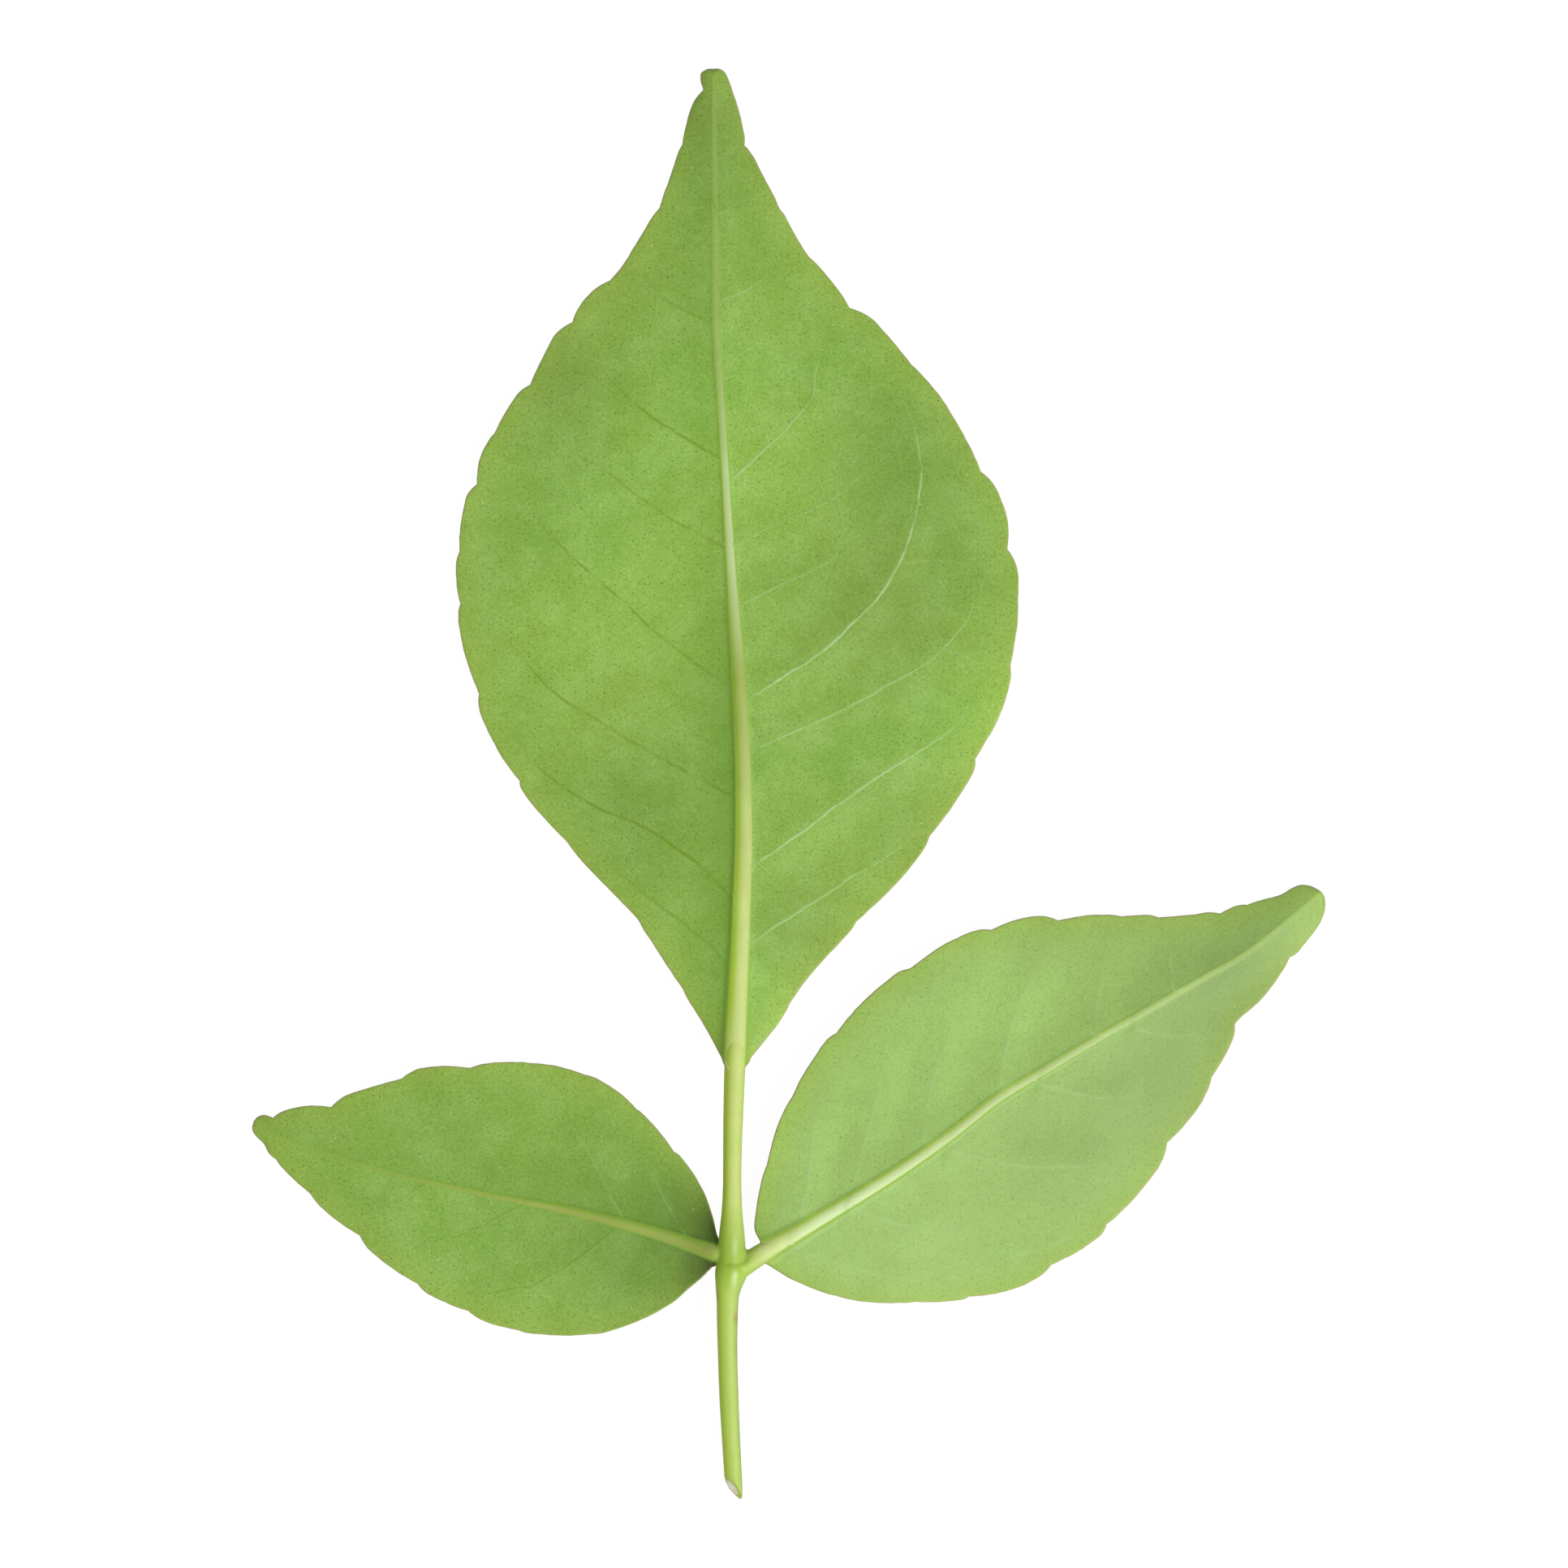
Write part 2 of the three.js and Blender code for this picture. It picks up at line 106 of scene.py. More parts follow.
# Spacing of the mesh
EDGE_STEP = 0.2
EDGE_SAMPLES = 400
FILL_STEP = 0.36
FILL_JITTER = 0.12      # in steps, as the next two are
FILL_GAP = 0.55
FILL_CLEAR = 0.6        # the fill keeps this far from the margin
FILL_SEED = 7
VEIN_STEP = 0.3
VEIN_GAP = 0.05
VEIN_CLEAR = 0.1
RIB_STEP = 0.35
RIB_GAP = 0.03
RIB_CLEAR = 0.02
RIM_RINGS = (0.025, 0.06, 0.11, 0.2, 0.34)
RIM_GAP = 0.45          # points of a ring keep apart by this share of its depth
RIM_CLEAR = 0.85
RIB_LINES = (0, 0.25, 0.48, 0.66, 0.8, 0.92, 1.05, 1.2, 1.35, 1.5, RIB_FILLET, 2)
VEIN_LINES = (0, 0.35, 0.7, 1.05, 1.5)
STALK_STEP = 0.25
STALK_SIDES = 36
RINGS_PER_ROW = 8
SKIN_GRAIN = 0.085
SKIN_SOFTENING = 16

# A leaflet's own stalk runs into its midrib
CLIMB_RUN = 0.8         # it leaves its own line for the midrib's crest over this length
CLIMB_LEVEL = 0.9       # and has done this much of it at the blade's base
SINK_RUN = 3.6          # past the blade's base it sinks over this length
SINK_START = 0.3
SINK_COVER = 0.2        # it starts this far over the crest of the midrib
SINK_DEPTH = 0.5        # sinks by this much
SINK_TAPER = 0.3        # and loses this share of its radius
GROWN_START = 0.7       # this far before the blade's base it takes on the midrib's tone
GROWN_RUN = 1.4         # over this length
GROWN_SIDE = (1.3, 0.4)  # reach and softness of that to its sides

# The leaf stalk: [x, y, z, radius] from its cut end to its swollen top, where the leaflets join it
STALK_RINGS = [
    [-3.98, -51.5, 0.66, 0.66], [-4.05, -50.4, 0.76, 0.66], [-4.2, -47.7, 1.2, 0.68],
    [-4.34, -44.9, 1.62, 0.71], [-4.45, -41.2, 2.2, 0.73], [-4.46, -39, 2.55, 0.78],
    [-4.44, -37.6, 2.82, 0.82], [-4.37, -36.8, 2.96, 0.95], [-4.25, -36.2, 3.06, 1.1],
    [-4.2, -35.7, 3.13, 1.18], [-4.18, -35.2, 3.17, 1.14], [-4.15, -34.6, 3.2, 1.02],
    [-4.15, -34, 3.2, 0.8],
]
CUT_SLOPE = -1          # the cut end's slant, to the right and upwards
CUT_LEAN = 0.75
CUT_DEPTH = 0.12        # what lies this near to the cut and faces it this much is cut
CUT_FACING = 0.75
CORE_SHARE = 0.62       # the pale core's share of the cut end's radius
CORE_EDGE = 0.2
CORE_SHIFT = 0.12       # it lies this far to the left of the middle
JOINT = (-4.2, -35)     # middle of the joint, where the rind is greener
JOINT_STRETCH = (0.5, 0.8)  # how far the greener rind reaches above the middle and below it
JOINT_REACH = 2.4
JOINT_EDGE = 2
UPPER_START = -37       # from here upwards the rind turns paler
UPPER_RUN = 5
CREASE = (-4.2, -35.05, 0.3)  # middle, level and bend of the crease over the joint
CREASE_SCALE = 0.9
CREASE_ENDS = ((0.7, 0.6), (1.6, 0.4))  # reach and softness of its left and its right end
CREASE_WIDTH = 0.2
CREASE_DEPTH = 0.02
# Marks on the rind: [x, y, half length, strength]
SCARS = [[-3.78, -39, 0.4, 0.9], [-3.72, -41.2, 0.9, 0.4], [-5.25, -37.4, 0.25, 0.7]]
# Painted highlights: whitish spots on the joint's rind
PAINTED_HIGHLIGHTS = [[-3.95, -36.1, 0.55, 0.5], [-3.9, -33.75, 0.8, 0.4]]
MARK_HALF = 0.2
HIGHLIGHT_FACING = 0.5        # the painted highlights thin out on rind that faces up less than this

# joint, turn, root and foot place a leaflet, its stalk and the start of its blade. Its patches are
# [x, y, size, gain] of painted light and shade: paler and deeper places, and at the left leaflet's
# base the leaf stalk's painted shadow. shaded is the side where its midrib is painted lime, as shade:
# the crest as much as lime says, and the flank as lime_flank does. crest rows are [y, paleness,
# milkiness, half width], and crest_shift moves that pale crest sideways. Another profile gives the
# strength of the painted shadow beside the midrib, on its shaded side. One share, from 0 to 1, paints
# a sheen on a leaflet, fully on the right one: a paler blade, fainter grain and glands, and wider,
# lower side veins. ridge and lift are the blade's heights at its midrib and at its margin. notches are
# [y, depth], and veins are [strength, points from the midrib outwards]; each side's vein tone is how
# much its veins take a painted highlight instead of their own dark green.
LEAFLETS = [{
    "name": "terminal_leaflet", "joint": (-4.06, -34.64), "turn": -0.98,
    "root": 0.9, "foot": 1.2, "base": 14.6, "tip": 86.85, "painted_sheen": 0.0,
    "light_and_shade_patches": [
        [-8, 49, 6, 0.14], [0, 60, 9, 0.14], [12, 48, 7, -0.16], [13, 58, 5, -0.15],
        [-6, 33, 5, -0.1], [6, 24, 4, -0.14], [19, 39, 5, 0.12], [-11, 64, 4, -0.14],
        [14, 30, 4, -0.1], [0, 83, 5, -0.18], [-14, 44, 5, 0.08], [2.5, 19, 3, 0.14],
    ],
    "lime": 1.0, "lime_flank": 1, "shaded": "left", "crest_shift": 0,
    "crest": [
        [14.6, 0.92, 0, 0.9], [24, 0.82, 0, 1], [31, 0.68, 0, 1.1], [36, 0.45, 0, 1.08],
        [42, 0.2, 0, 1], [48, 0.35, 0.35, 0.85], [54, 0.5, 0.65, 0.78], [60, 0.35, 0.45, 0.8],
        [66, 0.12, 0.22, 0.85], [75, 0.06, 0.18, 0.85], [86.85, 0, 0.1, 0.8],
    ],
    "rib_shadow": [[14.6, 0.6], [20, 0.75], [30, 1], [42, 0.75], [50, 0.3], [58, 0.2], [86.85, 0.1]],
    "midrib": [
        [0, -0.08], [3.5, 0], [9, 0.15], [16, 0.5], [24, 1], [32, 1.35], [40, 1.25], [50, 0.75],
        [62, 0.22], [68, -0.1], [75, -0.05], [86.85, 0.05],
    ],
    "stalk_centre": [[0, JOINT_HEIGHT], [7, 3.05], [14.6, 2.9]],
    "rib_radius": [
        [0, 1.08], [1.8, 0.94], [3.6, 0.76], [6, 0.68], [14.6, 0.78], [22, 0.66], [34, 0.52],
        [43, 0.48], [52, 0.37], [63, 0.3], [79, 0.2], [86.85, 0.1],
    ],
    "ridge": [[14.6, 2.62], [30, 2.55], [45, 2.25], [60, 1.55], [75, 0.65], [86.85, 0]],
    "left": {
        "margin": [
            [14.6, -0.55], [17, -1.8], [21, -4.2], [25, -6.75], [29, -10.35], [36, -15.9],
            [43, -18.55], [50, -19.4], [56, -18.5], [60, -16.8], [66, -12.85], [69, -10.85],
            [73, -6.7], [78, -3.7], [84, -1.65], [85.3, -1.05], [86.1, -0.92], [86.6, -0.82],
            [86.85, -0.35],
        ],
        "lift": [
            [14.6, 2.58], [24, 1.9], [35, 1.2], [46, 0.75], [57, 0.8], [68, 0.5], [78, 0.32],
            [86.85, 0],
        ],
        "notches": [
            [19.7, 0.12], [24.7, 0.12], [30.5, 0.12], [35.1, 0.35], [41.5, 0.33],
            [48.1, 0.25], [51.9, 0.2], [56.8, 0.55], [60.5, 0.15], [64, 0.5], [68.5, 0.7],
            [71.5, 0.4], [76.7, 0.25], [81.3, 0.2], [85.3, 0.3],
        ],
        "vein_highlight_share": 0.0,
        "veins": [
            [0.5, [-0.1, 21.4], [-1.4, 23], [-6.2, 27], [-9.7, 30.1]],
            [0.85, [0.4, 26.3], [-1.5, 28.4], [-6.2, 31.7], [-10, 33.4], [-14.1, 36.7], [-15.8, 39.7]],
            [0.7, [0.8, 33.6], [-4.8, 36.7], [-10.5, 40.2], [-13.1, 42.2], [-15.9, 46.2], [-16.5, 48.3]],
            [0.6, [0.7, 41.6], [-3, 44.2], [-7.9, 48.7], [-12.8, 53.6], [-13.8, 57.6]],
            [0.5, [0.3, 51.8], [-4, 54.3], [-8.7, 57.8], [-12.4, 60.1]],
            [0.65, [-0.1, 58.5], [-4.4, 61.1], [-7, 63.3], [-8.7, 65.5], [-8.7, 66.3]],
            [0.3, [-0.2, 68.1], [-4, 70.2], [-5.2, 71.6]],
        ],
    },
    "right": {
        "margin": [
            [14.6, 1.55], [17, 3.55], [21, 6.4], [28, 13.2], [36, 18.65], [42, 21.05],
            [48, 21.65], [54, 20.95], [62, 16.6], [68, 11.7], [73, 6.9], [78, 4.1], [81, 2.6],
            [84, 1.8], [85.4, 1.4], [86.3, 1.05], [86.7, 0.78], [86.85, 0.45],
        ],
        "lift": [
            [14.6, 2.58], [24, 2.05], [35, 1.55], [46, 1.25], [57, 0.95], [68, 0.7],
            [78, 0.38], [86.85, 0],
        ],
        "notches": [
            [18.5, 0.12], [24.4, 0.35], [30.5, 0.25], [36.1, 0.4], [42.9, 0.25], [51.4, 0.6],
            [57.1, 0.5], [65, 0.2], [69.2, 0.9], [73, 0.15], [76.5, 0.12], [81.2, 0.3],
        ],
        "vein_highlight_share": 1.0,
        "veins": [
            [0.5, [1.5, 22.7], [2.9, 23.8], [8, 27], [12.5, 29.7], [14.6, 31.8]],
            [0.7, [1.7, 28.5], [4.5, 30.3], [10.2, 34.4], [15.1, 37.3], [17.1, 38.8], [18.6, 41.9]],
            [
                0.45, [1.7, 37], [5.2, 38.4], [8.3, 39.7], [13.3, 42.3], [16.1, 44.2],
                [18.2, 47], [18.4, 49.2], [17.7, 50.5], [18.3, 52.1],
            ],
            [0.3, [16.1, 44.2], [18, 43.4], [19.2, 42.6]],
            [
                0.85, [1.6, 40.7], [5.3, 42.9], [7.8, 44.6], [11.9, 48.7], [13.6, 51.9],
                [14.7, 56.6], [14.2, 60.4], [13.2, 62.9], [12, 63.5],
            ],
            [0.15, [13.1, 50.5], [15.3, 50.6], [17.6, 50.4], [18.2, 49.5]],
            [0.25, [1.2, 47.6], [4.8, 49.3], [7.8, 50.7], [9.6, 52.9]],
            [0.2, [1.1, 51.9], [4, 53.6], [7.6, 54.9], [11.5, 57.8], [14.2, 59]],
            [0.5, [0.7, 56.6], [2.6, 58.3], [6.7, 62.6], [7.1, 64.4], [7.9, 67.8]],
            [0.15, [6.7, 62.6], [9.8, 62.8], [12, 63.4]],
            [0.25, [0.4, 65], [1.4, 65.7], [4, 67.6]],
            [0.35, [0.3, 69.9], [2, 70.5], [4.1, 71.8]],
            [0.3, [0.1, 76.2], [1.8, 76.7]],
        ],
    },
}, {
    "name": "right_leaflet", "joint": (-4.06, -34.99), "turn": 57.9,
    "root": 0, "foot": 0.5, "base": 2, "tip": 50.8, "painted_sheen": 1.0,
    "light_and_shade_patches": [
        [-4, 8, 5, 0.12], [-6, 17, 5, 0.14], [-6, 26, 5, 0.14], [-2, 33, 3, 0.07],
        [5, 34, 6, -0.19], [6, 25, 5, -0.1], [2, 42, 5, -0.17], [-1, 46, 4, -0.06],
    ],
    "lime": 0.4, "lime_flank": 1, "stalk_end": "paler", "shaded": "left", "crest_shift": 0,
    "crest": [
        [2, 0.5, 0, 0.9], [4, 1, 0.25, 0.78], [8, 1, 0.6, 0.77], [20, 0.5, 0.38, 0.74],
        [36, 0.2, 0.5, 0.78], [42, 0.2, 0.4, 0.8], [50.8, 0.1, 0.3, 0.8],
    ],
    "rib_shadow": [[2, 0.2], [6, 0], [15, 0.1], [50.8, 0.1]],
    "midrib": [
        [0, 0.55], [2.3, 0.48], [5, 0.6], [9, 0.7], [13, 0.76], [17, 0.62], [20, 0.36],
        [22.5, 0.1], [26, 0.13], [31, 0.26], [35, 0.43], [40, 0.62], [43.5, 0.78],
        [46.5, 0.5], [50.8, -0.1],
    ],
    "stalk_centre": [[0, JOINT_HEIGHT], [2.3, 3.1]],
    "rib_radius": [
        [0, 0.8], [2.3, 0.76], [4, 0.64], [9, 0.5], [22, 0.36], [34, 0.26], [45, 0.18],
        [50.8, 0.12],
    ],
    "ridge": [[2.3, 2.82], [10, 2.5], [25, 1.95], [40, 1], [50.8, 0]],
    "left": {
        "margin": [
            [2, -0.1], [2.55, -0.3], [2.6, -1.05], [3, -1.8], [5.5, -4.55], [9, -7.45],
            [13, -9.6], [18, -11.15], [23.5, -11.65], [28, -11.15], [32, -9.8], [37, -6.8],
            [42, -3.7], [46, -2.2], [48.1, -1.55], [49.6, -1.4], [50.3, -0.95], [50.65, -0.45],
            [50.8, -0.1],
        ],
        "lift": [[2, 2.8], [12, 1.9], [23, 1.3], [33, 0.85], [42, 0.4], [50.8, 0]],
        "notches": [
            [5.9, 0.15], [10.1, 0.12], [15.3, 0.25], [22.4, 0.3], [28.9, 0.35], [33.4, 0.5],
            [37.5, 0.15], [39.7, 0.2], [43.7, 0.3], [45.7, 0.12],
        ],
        "vein_highlight_share": 0.8,
        "veins": [
            [0.6, [-0.1, 5.8], [-2.9, 8.3], [-6.1, 11], [-7.8, 12.8]],
            [0.5, [-0.1, 10.4], [-2.5, 12.9], [-4.8, 15.4], [-8.6, 18.8]],
            [0.5, [0.1, 16.1], [-3, 18.8], [-5.3, 21.3], [-8.3, 23.7]],
            [0.7, [-0.2, 23], [-2.6, 25], [-5.4, 28.3], [-6.5, 30.5], [-7.2, 32.7]],
            [0.4, [0, 31], [-3.8, 34.2], [-4.8, 36], [-4.8, 37.1]],
            [0.3, [0.3, 37.7], [-1.9, 38.9], [-3, 39.4]],
        ],
    },
    "right": {
        "margin": [
            [2, 1.2], [2.3, 1.8], [3, 3.2], [5.5, 6.5], [9, 9.05], [13, 11.3], [16.5, 12.55],
            [20.5, 12.7], [25, 12.4], [30, 10.6], [35, 8.4], [38, 6.6], [40.5, 5.05],
            [43, 4.25], [46, 3.05], [48.4, 2.25], [49.5, 1.8], [50.2, 1.3], [50.6, 0.75],
            [50.8, 0.3],
        ],
        "lift": [[2, 2.75], [8, 1.8], [14, 1.1], [22, 0.65], [32, 0.5], [42, 0.4], [50.8, 0]],
        "notches": [
            [5.1, 0.12], [9.8, 0.12], [13.3, 0.25], [19.6, 0.25], [24.6, 0.4], [31.5, 0.6],
            [36.8, 0.25], [40.3, 0.45], [46.3, 0.25],
        ],
        "vein_highlight_share": 0.8,
        "veins": [
            [0.4, [0.6, 3.9], [3.9, 6.4], [7.8, 10.3], [9.3, 12.1]],
            [0.5, [0.6, 9], [3.8, 11.7], [7.6, 15.3]],
            [0.4, [0.8, 17.3], [3.1, 19.5], [5.2, 21.7], [7.8, 26], [8.2, 28.2]],
            [0.35, [10.2, 16.9], [11.1, 20.1], [11.7, 23.2]],
            [0.4, [0.4, 25.6], [3.4, 28.4], [5.9, 32.2]],
            [0.3, [0.7, 33.6], [3, 36], [4.2, 38.6]],
        ],
    },
}, {
    "name": "left_leaflet", "joint": (-4.36, -34.64), "turn": -74.57,
    "root": 0, "foot": 0.7, "base": 1, "tip": 36.1, "painted_sheen": 0.0,
    "light_and_shade_patches": [
        [-1.5, 0.6, 2, -0.6], [1.8, 0.8, 2, -0.65], [-2, 4, 4.5, -0.2], [3, 4, 3, -0.24],
        [0, 10, 5, -0.15], [-3, 21, 4, 0.05], [3, 29, 3, 0.06], [0, 20, 14, -0.06],
    ],
    "lime": 0.0, "lime_flank": 0, "stalk_end": "duller_and_shaded", "shaded": "right", "crest_shift": -0.1,
    "crest": [
        [1, 0, 0, 0.5], [4, 0.12, 0, 0.72], [8, 0.08, 0, 0.74], [15, 0.08, 0, 0.72], [36.1, 0, 0, 0.8],
    ],
    "rib_shadow": [[1, 0.4], [8, 0.35], [16, 0.15], [36.1, 0.1]],
    "midrib": [[0, 0.1], [6, 0.4], [12, 0.3], [18, -0.12], [24, -0.43], [30, -0.42], [36.1, 0.1]],
    "stalk_centre": [[0, JOINT_HEIGHT], [1, 3.05]],
    "rib_radius": [
        [0, 0.62], [1, 0.58], [3, 0.48], [5, 0.42], [11, 0.3], [18, 0.18], [27, 0.12],
        [36.1, 0.08],
    ],
    "ridge": [[1, 2.75], [1.7, 2.5], [3.2, 1.95], [5.5, 1.6], [9, 1.4], [24, 0.85], [36.1, 0]],
    "left": {
        "margin": [
            [1, -0.88], [1.5, -1.8], [2.3, -3], [3.1, -4.2], [5.5, -6.45], [8, -8], [11, -8.9],
            [14, -9.3], [18, -8.9], [22, -7.9], [26, -6.15], [30, -4.15], [33, -2.45],
            [34.4, -1.6], [34.9, -1.05], [35.6, -0.65], [36, -0.3], [36.1, -0.05],
        ],
        "lift": [
            [1, 2.75], [1.7, 2.35], [3.2, 1.7], [5.5, 1.15], [9, 0.75], [15, 0.5], [25, 0.4],
            [36.1, 0],
        ],
        "notches": [
            [8.3, 0.12], [13.4, 0.12], [17.3, 0.22], [21.4, 0.25], [26.4, 0.4], [30.7, 0.15],
            [33.8, 0.15],
        ],
        "vein_highlight_share": 0.0,
        "veins": [
            [0.3, [-0.1, 3.3], [-2.5, 5.3], [-5.8, 8.4]],
            [0.5, [0, 8.5], [-2.3, 10.1], [-5.6, 13.1], [-6.4, 14.8], [-7.2, 16.6], [-7.3, 19]],
            [0.4, [-0.1, 15.3], [-2.1, 17.5], [-4.7, 20.5]],
            [0.25, [-0.5, 22.6], [-2.6, 24.6], [-4.1, 27]],
        ],
    },
    "right": {
        "margin": [
            [1, 1.15], [1.3, 1.5], [1.9, 2.6], [3.1, 4.3], [5.5, 6.35], [8, 8], [11, 9.6],
            [14.5, 10.3], [18, 9.85], [22, 8.7], [25.5, 7.3], [28, 5.5], [30.5, 3.8],
            [33, 2.45], [35.2, 1.2], [35.6, 1], [35.95, 0.75], [36.1, 0.4],
        ],
        "lift": [
            [1, 2.75], [1.7, 2.3], [3.2, 1.65], [5.5, 1.25], [9, 1], [15, 0.85], [25, 0.6],
            [36.1, 0],
        ],
        "notches": [
            [5.9, 0.2], [9.4, 0.12], [13.7, 0.12], [21.9, 0.4], [26.5, 0.35], [30.9, 0.65],
            [34.8, 0.4],
        ],
        "vein_highlight_share": 0.6,
        "veins": [
            [0.3, [0.6, 3.2], [2.7, 5.5], [6.6, 9.1]],
            [0.4, [0.6, 8], [2.8, 10.2], [5.2, 12.4], [7.4, 15]],
            [0.35, [0.2, 16], [2.5, 18.5], [5.6, 22.3]],
            [0.3, [-0.4, 26.8], [0.9, 28.7], [2, 29.2], [3.1, 29]],
        ],
    },
}]


# ---------------------------------------------------------------- shape of the blade

def along(profile, y):
    """The value of a profile at y: a cubic through its pairs, with even slopes across each pair."""
    places, values = np.array(profile, float).T
    y = np.asarray(y, float)
    last = len(places) - 1
    i = np.clip(np.searchsorted(places, y) - 1, 0, last - 1)
    before = np.maximum(np.arange(last + 1) - 1, 0)
    after = np.minimum(np.arange(last + 1) + 1, last)
    slope = (values[after] - values[before]) / (places[after] - places[before])
    gap = places[i + 1] - places[i]
    t = np.clip((y - places[i]) / gap, 0, 1)
    rise = values[i + 1] - values[i]
    bend_in = slope[i] * gap - rise
    bend_out = rise - slope[i + 1] * gap
    return values[i] + rise * t + t * (1 - t) * (bend_in * (1 - t) + bend_out * t)


def ease(value):
    """0 below 0, 1 above 1, and a smooth step between."""
    t = np.clip(value, 0, 1)
    return t * t * (3 - 2 * t)


def between(ends, share):
    """The value at a share of the way between two."""
    return ends[0] + (ends[1] - ends[0]) * share


def smooth_line(points, step):
    """A smooth line through points, with a point about every step."""
    points = np.array(points, float)
    reach = np.concatenate([[0], np.cumsum(np.linalg.norm(np.diff(points, axis=0), axis=1))])
    places = np.linspace(0, reach[-1], max(2, math.ceil(reach[-1] / step) + 1))
    return np.column_stack([along(np.column_stack([reach, points[:, k]]), places) for k in (0, 1)])


def distance_to(line, points):
    """How far each point lies from a line, and the nearest place on it, from 0 to 1."""
    start, step = line[:-1], np.diff(line, axis=0)
    gaps, places = [], []
    for chunk in np.array_split(points, len(points) // 2000 + 1):
        offset = chunk[:, None] - start
        share = np.clip((offset * step).sum(2) / (step ** 2).sum(1), 0, 1)
        gap = np.linalg.norm(offset - share[..., None] * step, axis=2)
        nearest = gap.argmin(1)
        rows = np.arange(len(chunk))
        gaps.append(gap[rows, nearest])
        places.append((nearest + share[rows, nearest]) / len(step))
    return np.concatenate(gaps), np.concatenate(places)


def offset_line(line, amount):
    """A line moved sideways, to its left where amount is above 0."""
    run = np.gradient(line, axis=0)
    run /= np.linalg.norm(run, axis=1)[:, None]
    return line + np.column_stack([-run[:, 1], run[:, 0]]) * np.reshape(amount, (-1, 1))


def notch_depth(notches, y):
    """How far the margin is set in at y. A tooth slopes out from each notch to its crest, then
    drops into the next notch. The margin eases in before the first and out past the last."""
    places, depths = np.transpose(notches)
    ends = np.array([2 * places[0] - places[1], *places, places[-1] + LAST_TOOTH])
    lengths = np.diff(ends)
    depths = np.array([0, *depths, 0])
    tooth = np.clip(np.searchsorted(ends, y, side="right") - 1, 0, len(lengths) - 1)
    place = np.clip((y - ends[tooth]) / lengths[tooth], 0, 1)
    out = depths[tooth] * np.maximum(1 - place / TOOTH_CREST, 0) ** TOOTH_SLOPE
    past_crest = np.maximum((place - TOOTH_CREST) / (1 - TOOTH_CREST), 0)
    return out + depths[tooth + 1] * past_crest ** TOOTH_DROP


def fray(leaflet, outward, y):
    """Small wear of the margin, in millimetres."""
    place = np.atleast_1d(y) * outward + leaflet["turn"]
    worn = [
        sum(size * noise.noise(Vector((p / length, *FRAY_SEED))) for size, length in FRAYS)
        for p in place
    ]
    fade = ease((y - leaflet["base"]) / FRAY_FADE[0]) * ease((leaflet["tip"] - y) / FRAY_FADE[1])
    return np.reshape(worn, np.shape(y)) * fade


def margin_x(leaflet, side_name, y):
    """Where the margin lies at y. Below its base the blade runs out inside the stalk."""
    outward = dict(SIDES)[side_name]
    side = leaflet[side_name]
    x = along(side["margin"], y) - outward * notch_depth(side["notches"], y)
    x = x + fray(leaflet, outward, y)
    foot = along(leaflet["midrib"], y) + outward * FOOT_INSET * along(leaflet["rib_radius"], y)
    return foot + (x - foot) * ease(1 - (leaflet["base"] - y) / leaflet["foot"])


def blade_height(leaflet, x, y):
    """Height of the blade's lower face, and each place's share of the way to the margin."""
    from_base = (y - leaflet["base"]) / WAVE_FADE_AT_BASE
    fade = np.minimum(from_base, (leaflet["tip"] - y) / WAVE_FADE_AT_TIP)
    wave = np.clip(fade, 0, 1) * WAVE_HEIGHT * np.sin(2 * math.pi * y / WAVE_LENGTH)
    middle, radius = along(leaflet["midrib"], y), along(leaflet["rib_radius"], y)
    ridge = along(leaflet["ridge"], y)
    height, shares = ridge.copy(), np.zeros_like(y)
    for side_name, outward in SIDES:
        side = leaflet[side_name]
        here = (x - middle) * outward > 0
        foot = middle + outward * radius
        share = np.clip((x - foot) / (along(side["margin"], y) - foot), 0, 1)
        lift = np.maximum(0, along(side["lift"], y) + wave)
        height = np.where(here, ridge + (lift - ridge) * share ** BLADE_ARCH, height)
        shares = np.where(here, share, shares)
    return height, shares


def rib_shape(across):
    """The midrib's section: a round crest, with a concave fillet at its foot. across is counted in
    half widths."""
    crest = np.sqrt(1 - np.minimum(across, RIB_SHOULDER) ** 2)
    top = math.sqrt(1 - RIB_SHOULDER ** 2)
    fall = -RIB_SHOULDER / top * (RIB_FILLET - RIB_SHOULDER)
    t = np.clip((across - RIB_SHOULDER) / (RIB_FILLET - RIB_SHOULDER), 0, 1)
    flank = top * (2 * t ** 3 - 3 * t ** 2 + 1) + fall * (t ** 3 - 2 * t ** 2 + t)
    return np.where(across < RIB_SHOULDER, crest, flank)


def unevenness(layers, x, y, seed):
    """Random smooth relief. Each layer has its height and its length, in millimetres."""
    total = np.zeros(len(x))
    for height, length in layers:
        total += [height * noise.noise(Vector((a / length, b / length, seed))) for a, b in zip(x, y)]
    return total


def vein_line(points):
    """The middle of a side vein: a smooth line with small kinks where finer veins leave it."""
    line = smooth_line(points, VEIN_STEP)
    kinks = unevenness(VEIN_KINKS, *line.T, KINK_SEED)
    return offset_line(line, kinks * ease(np.arange(len(line)) / KINK_LEAD))


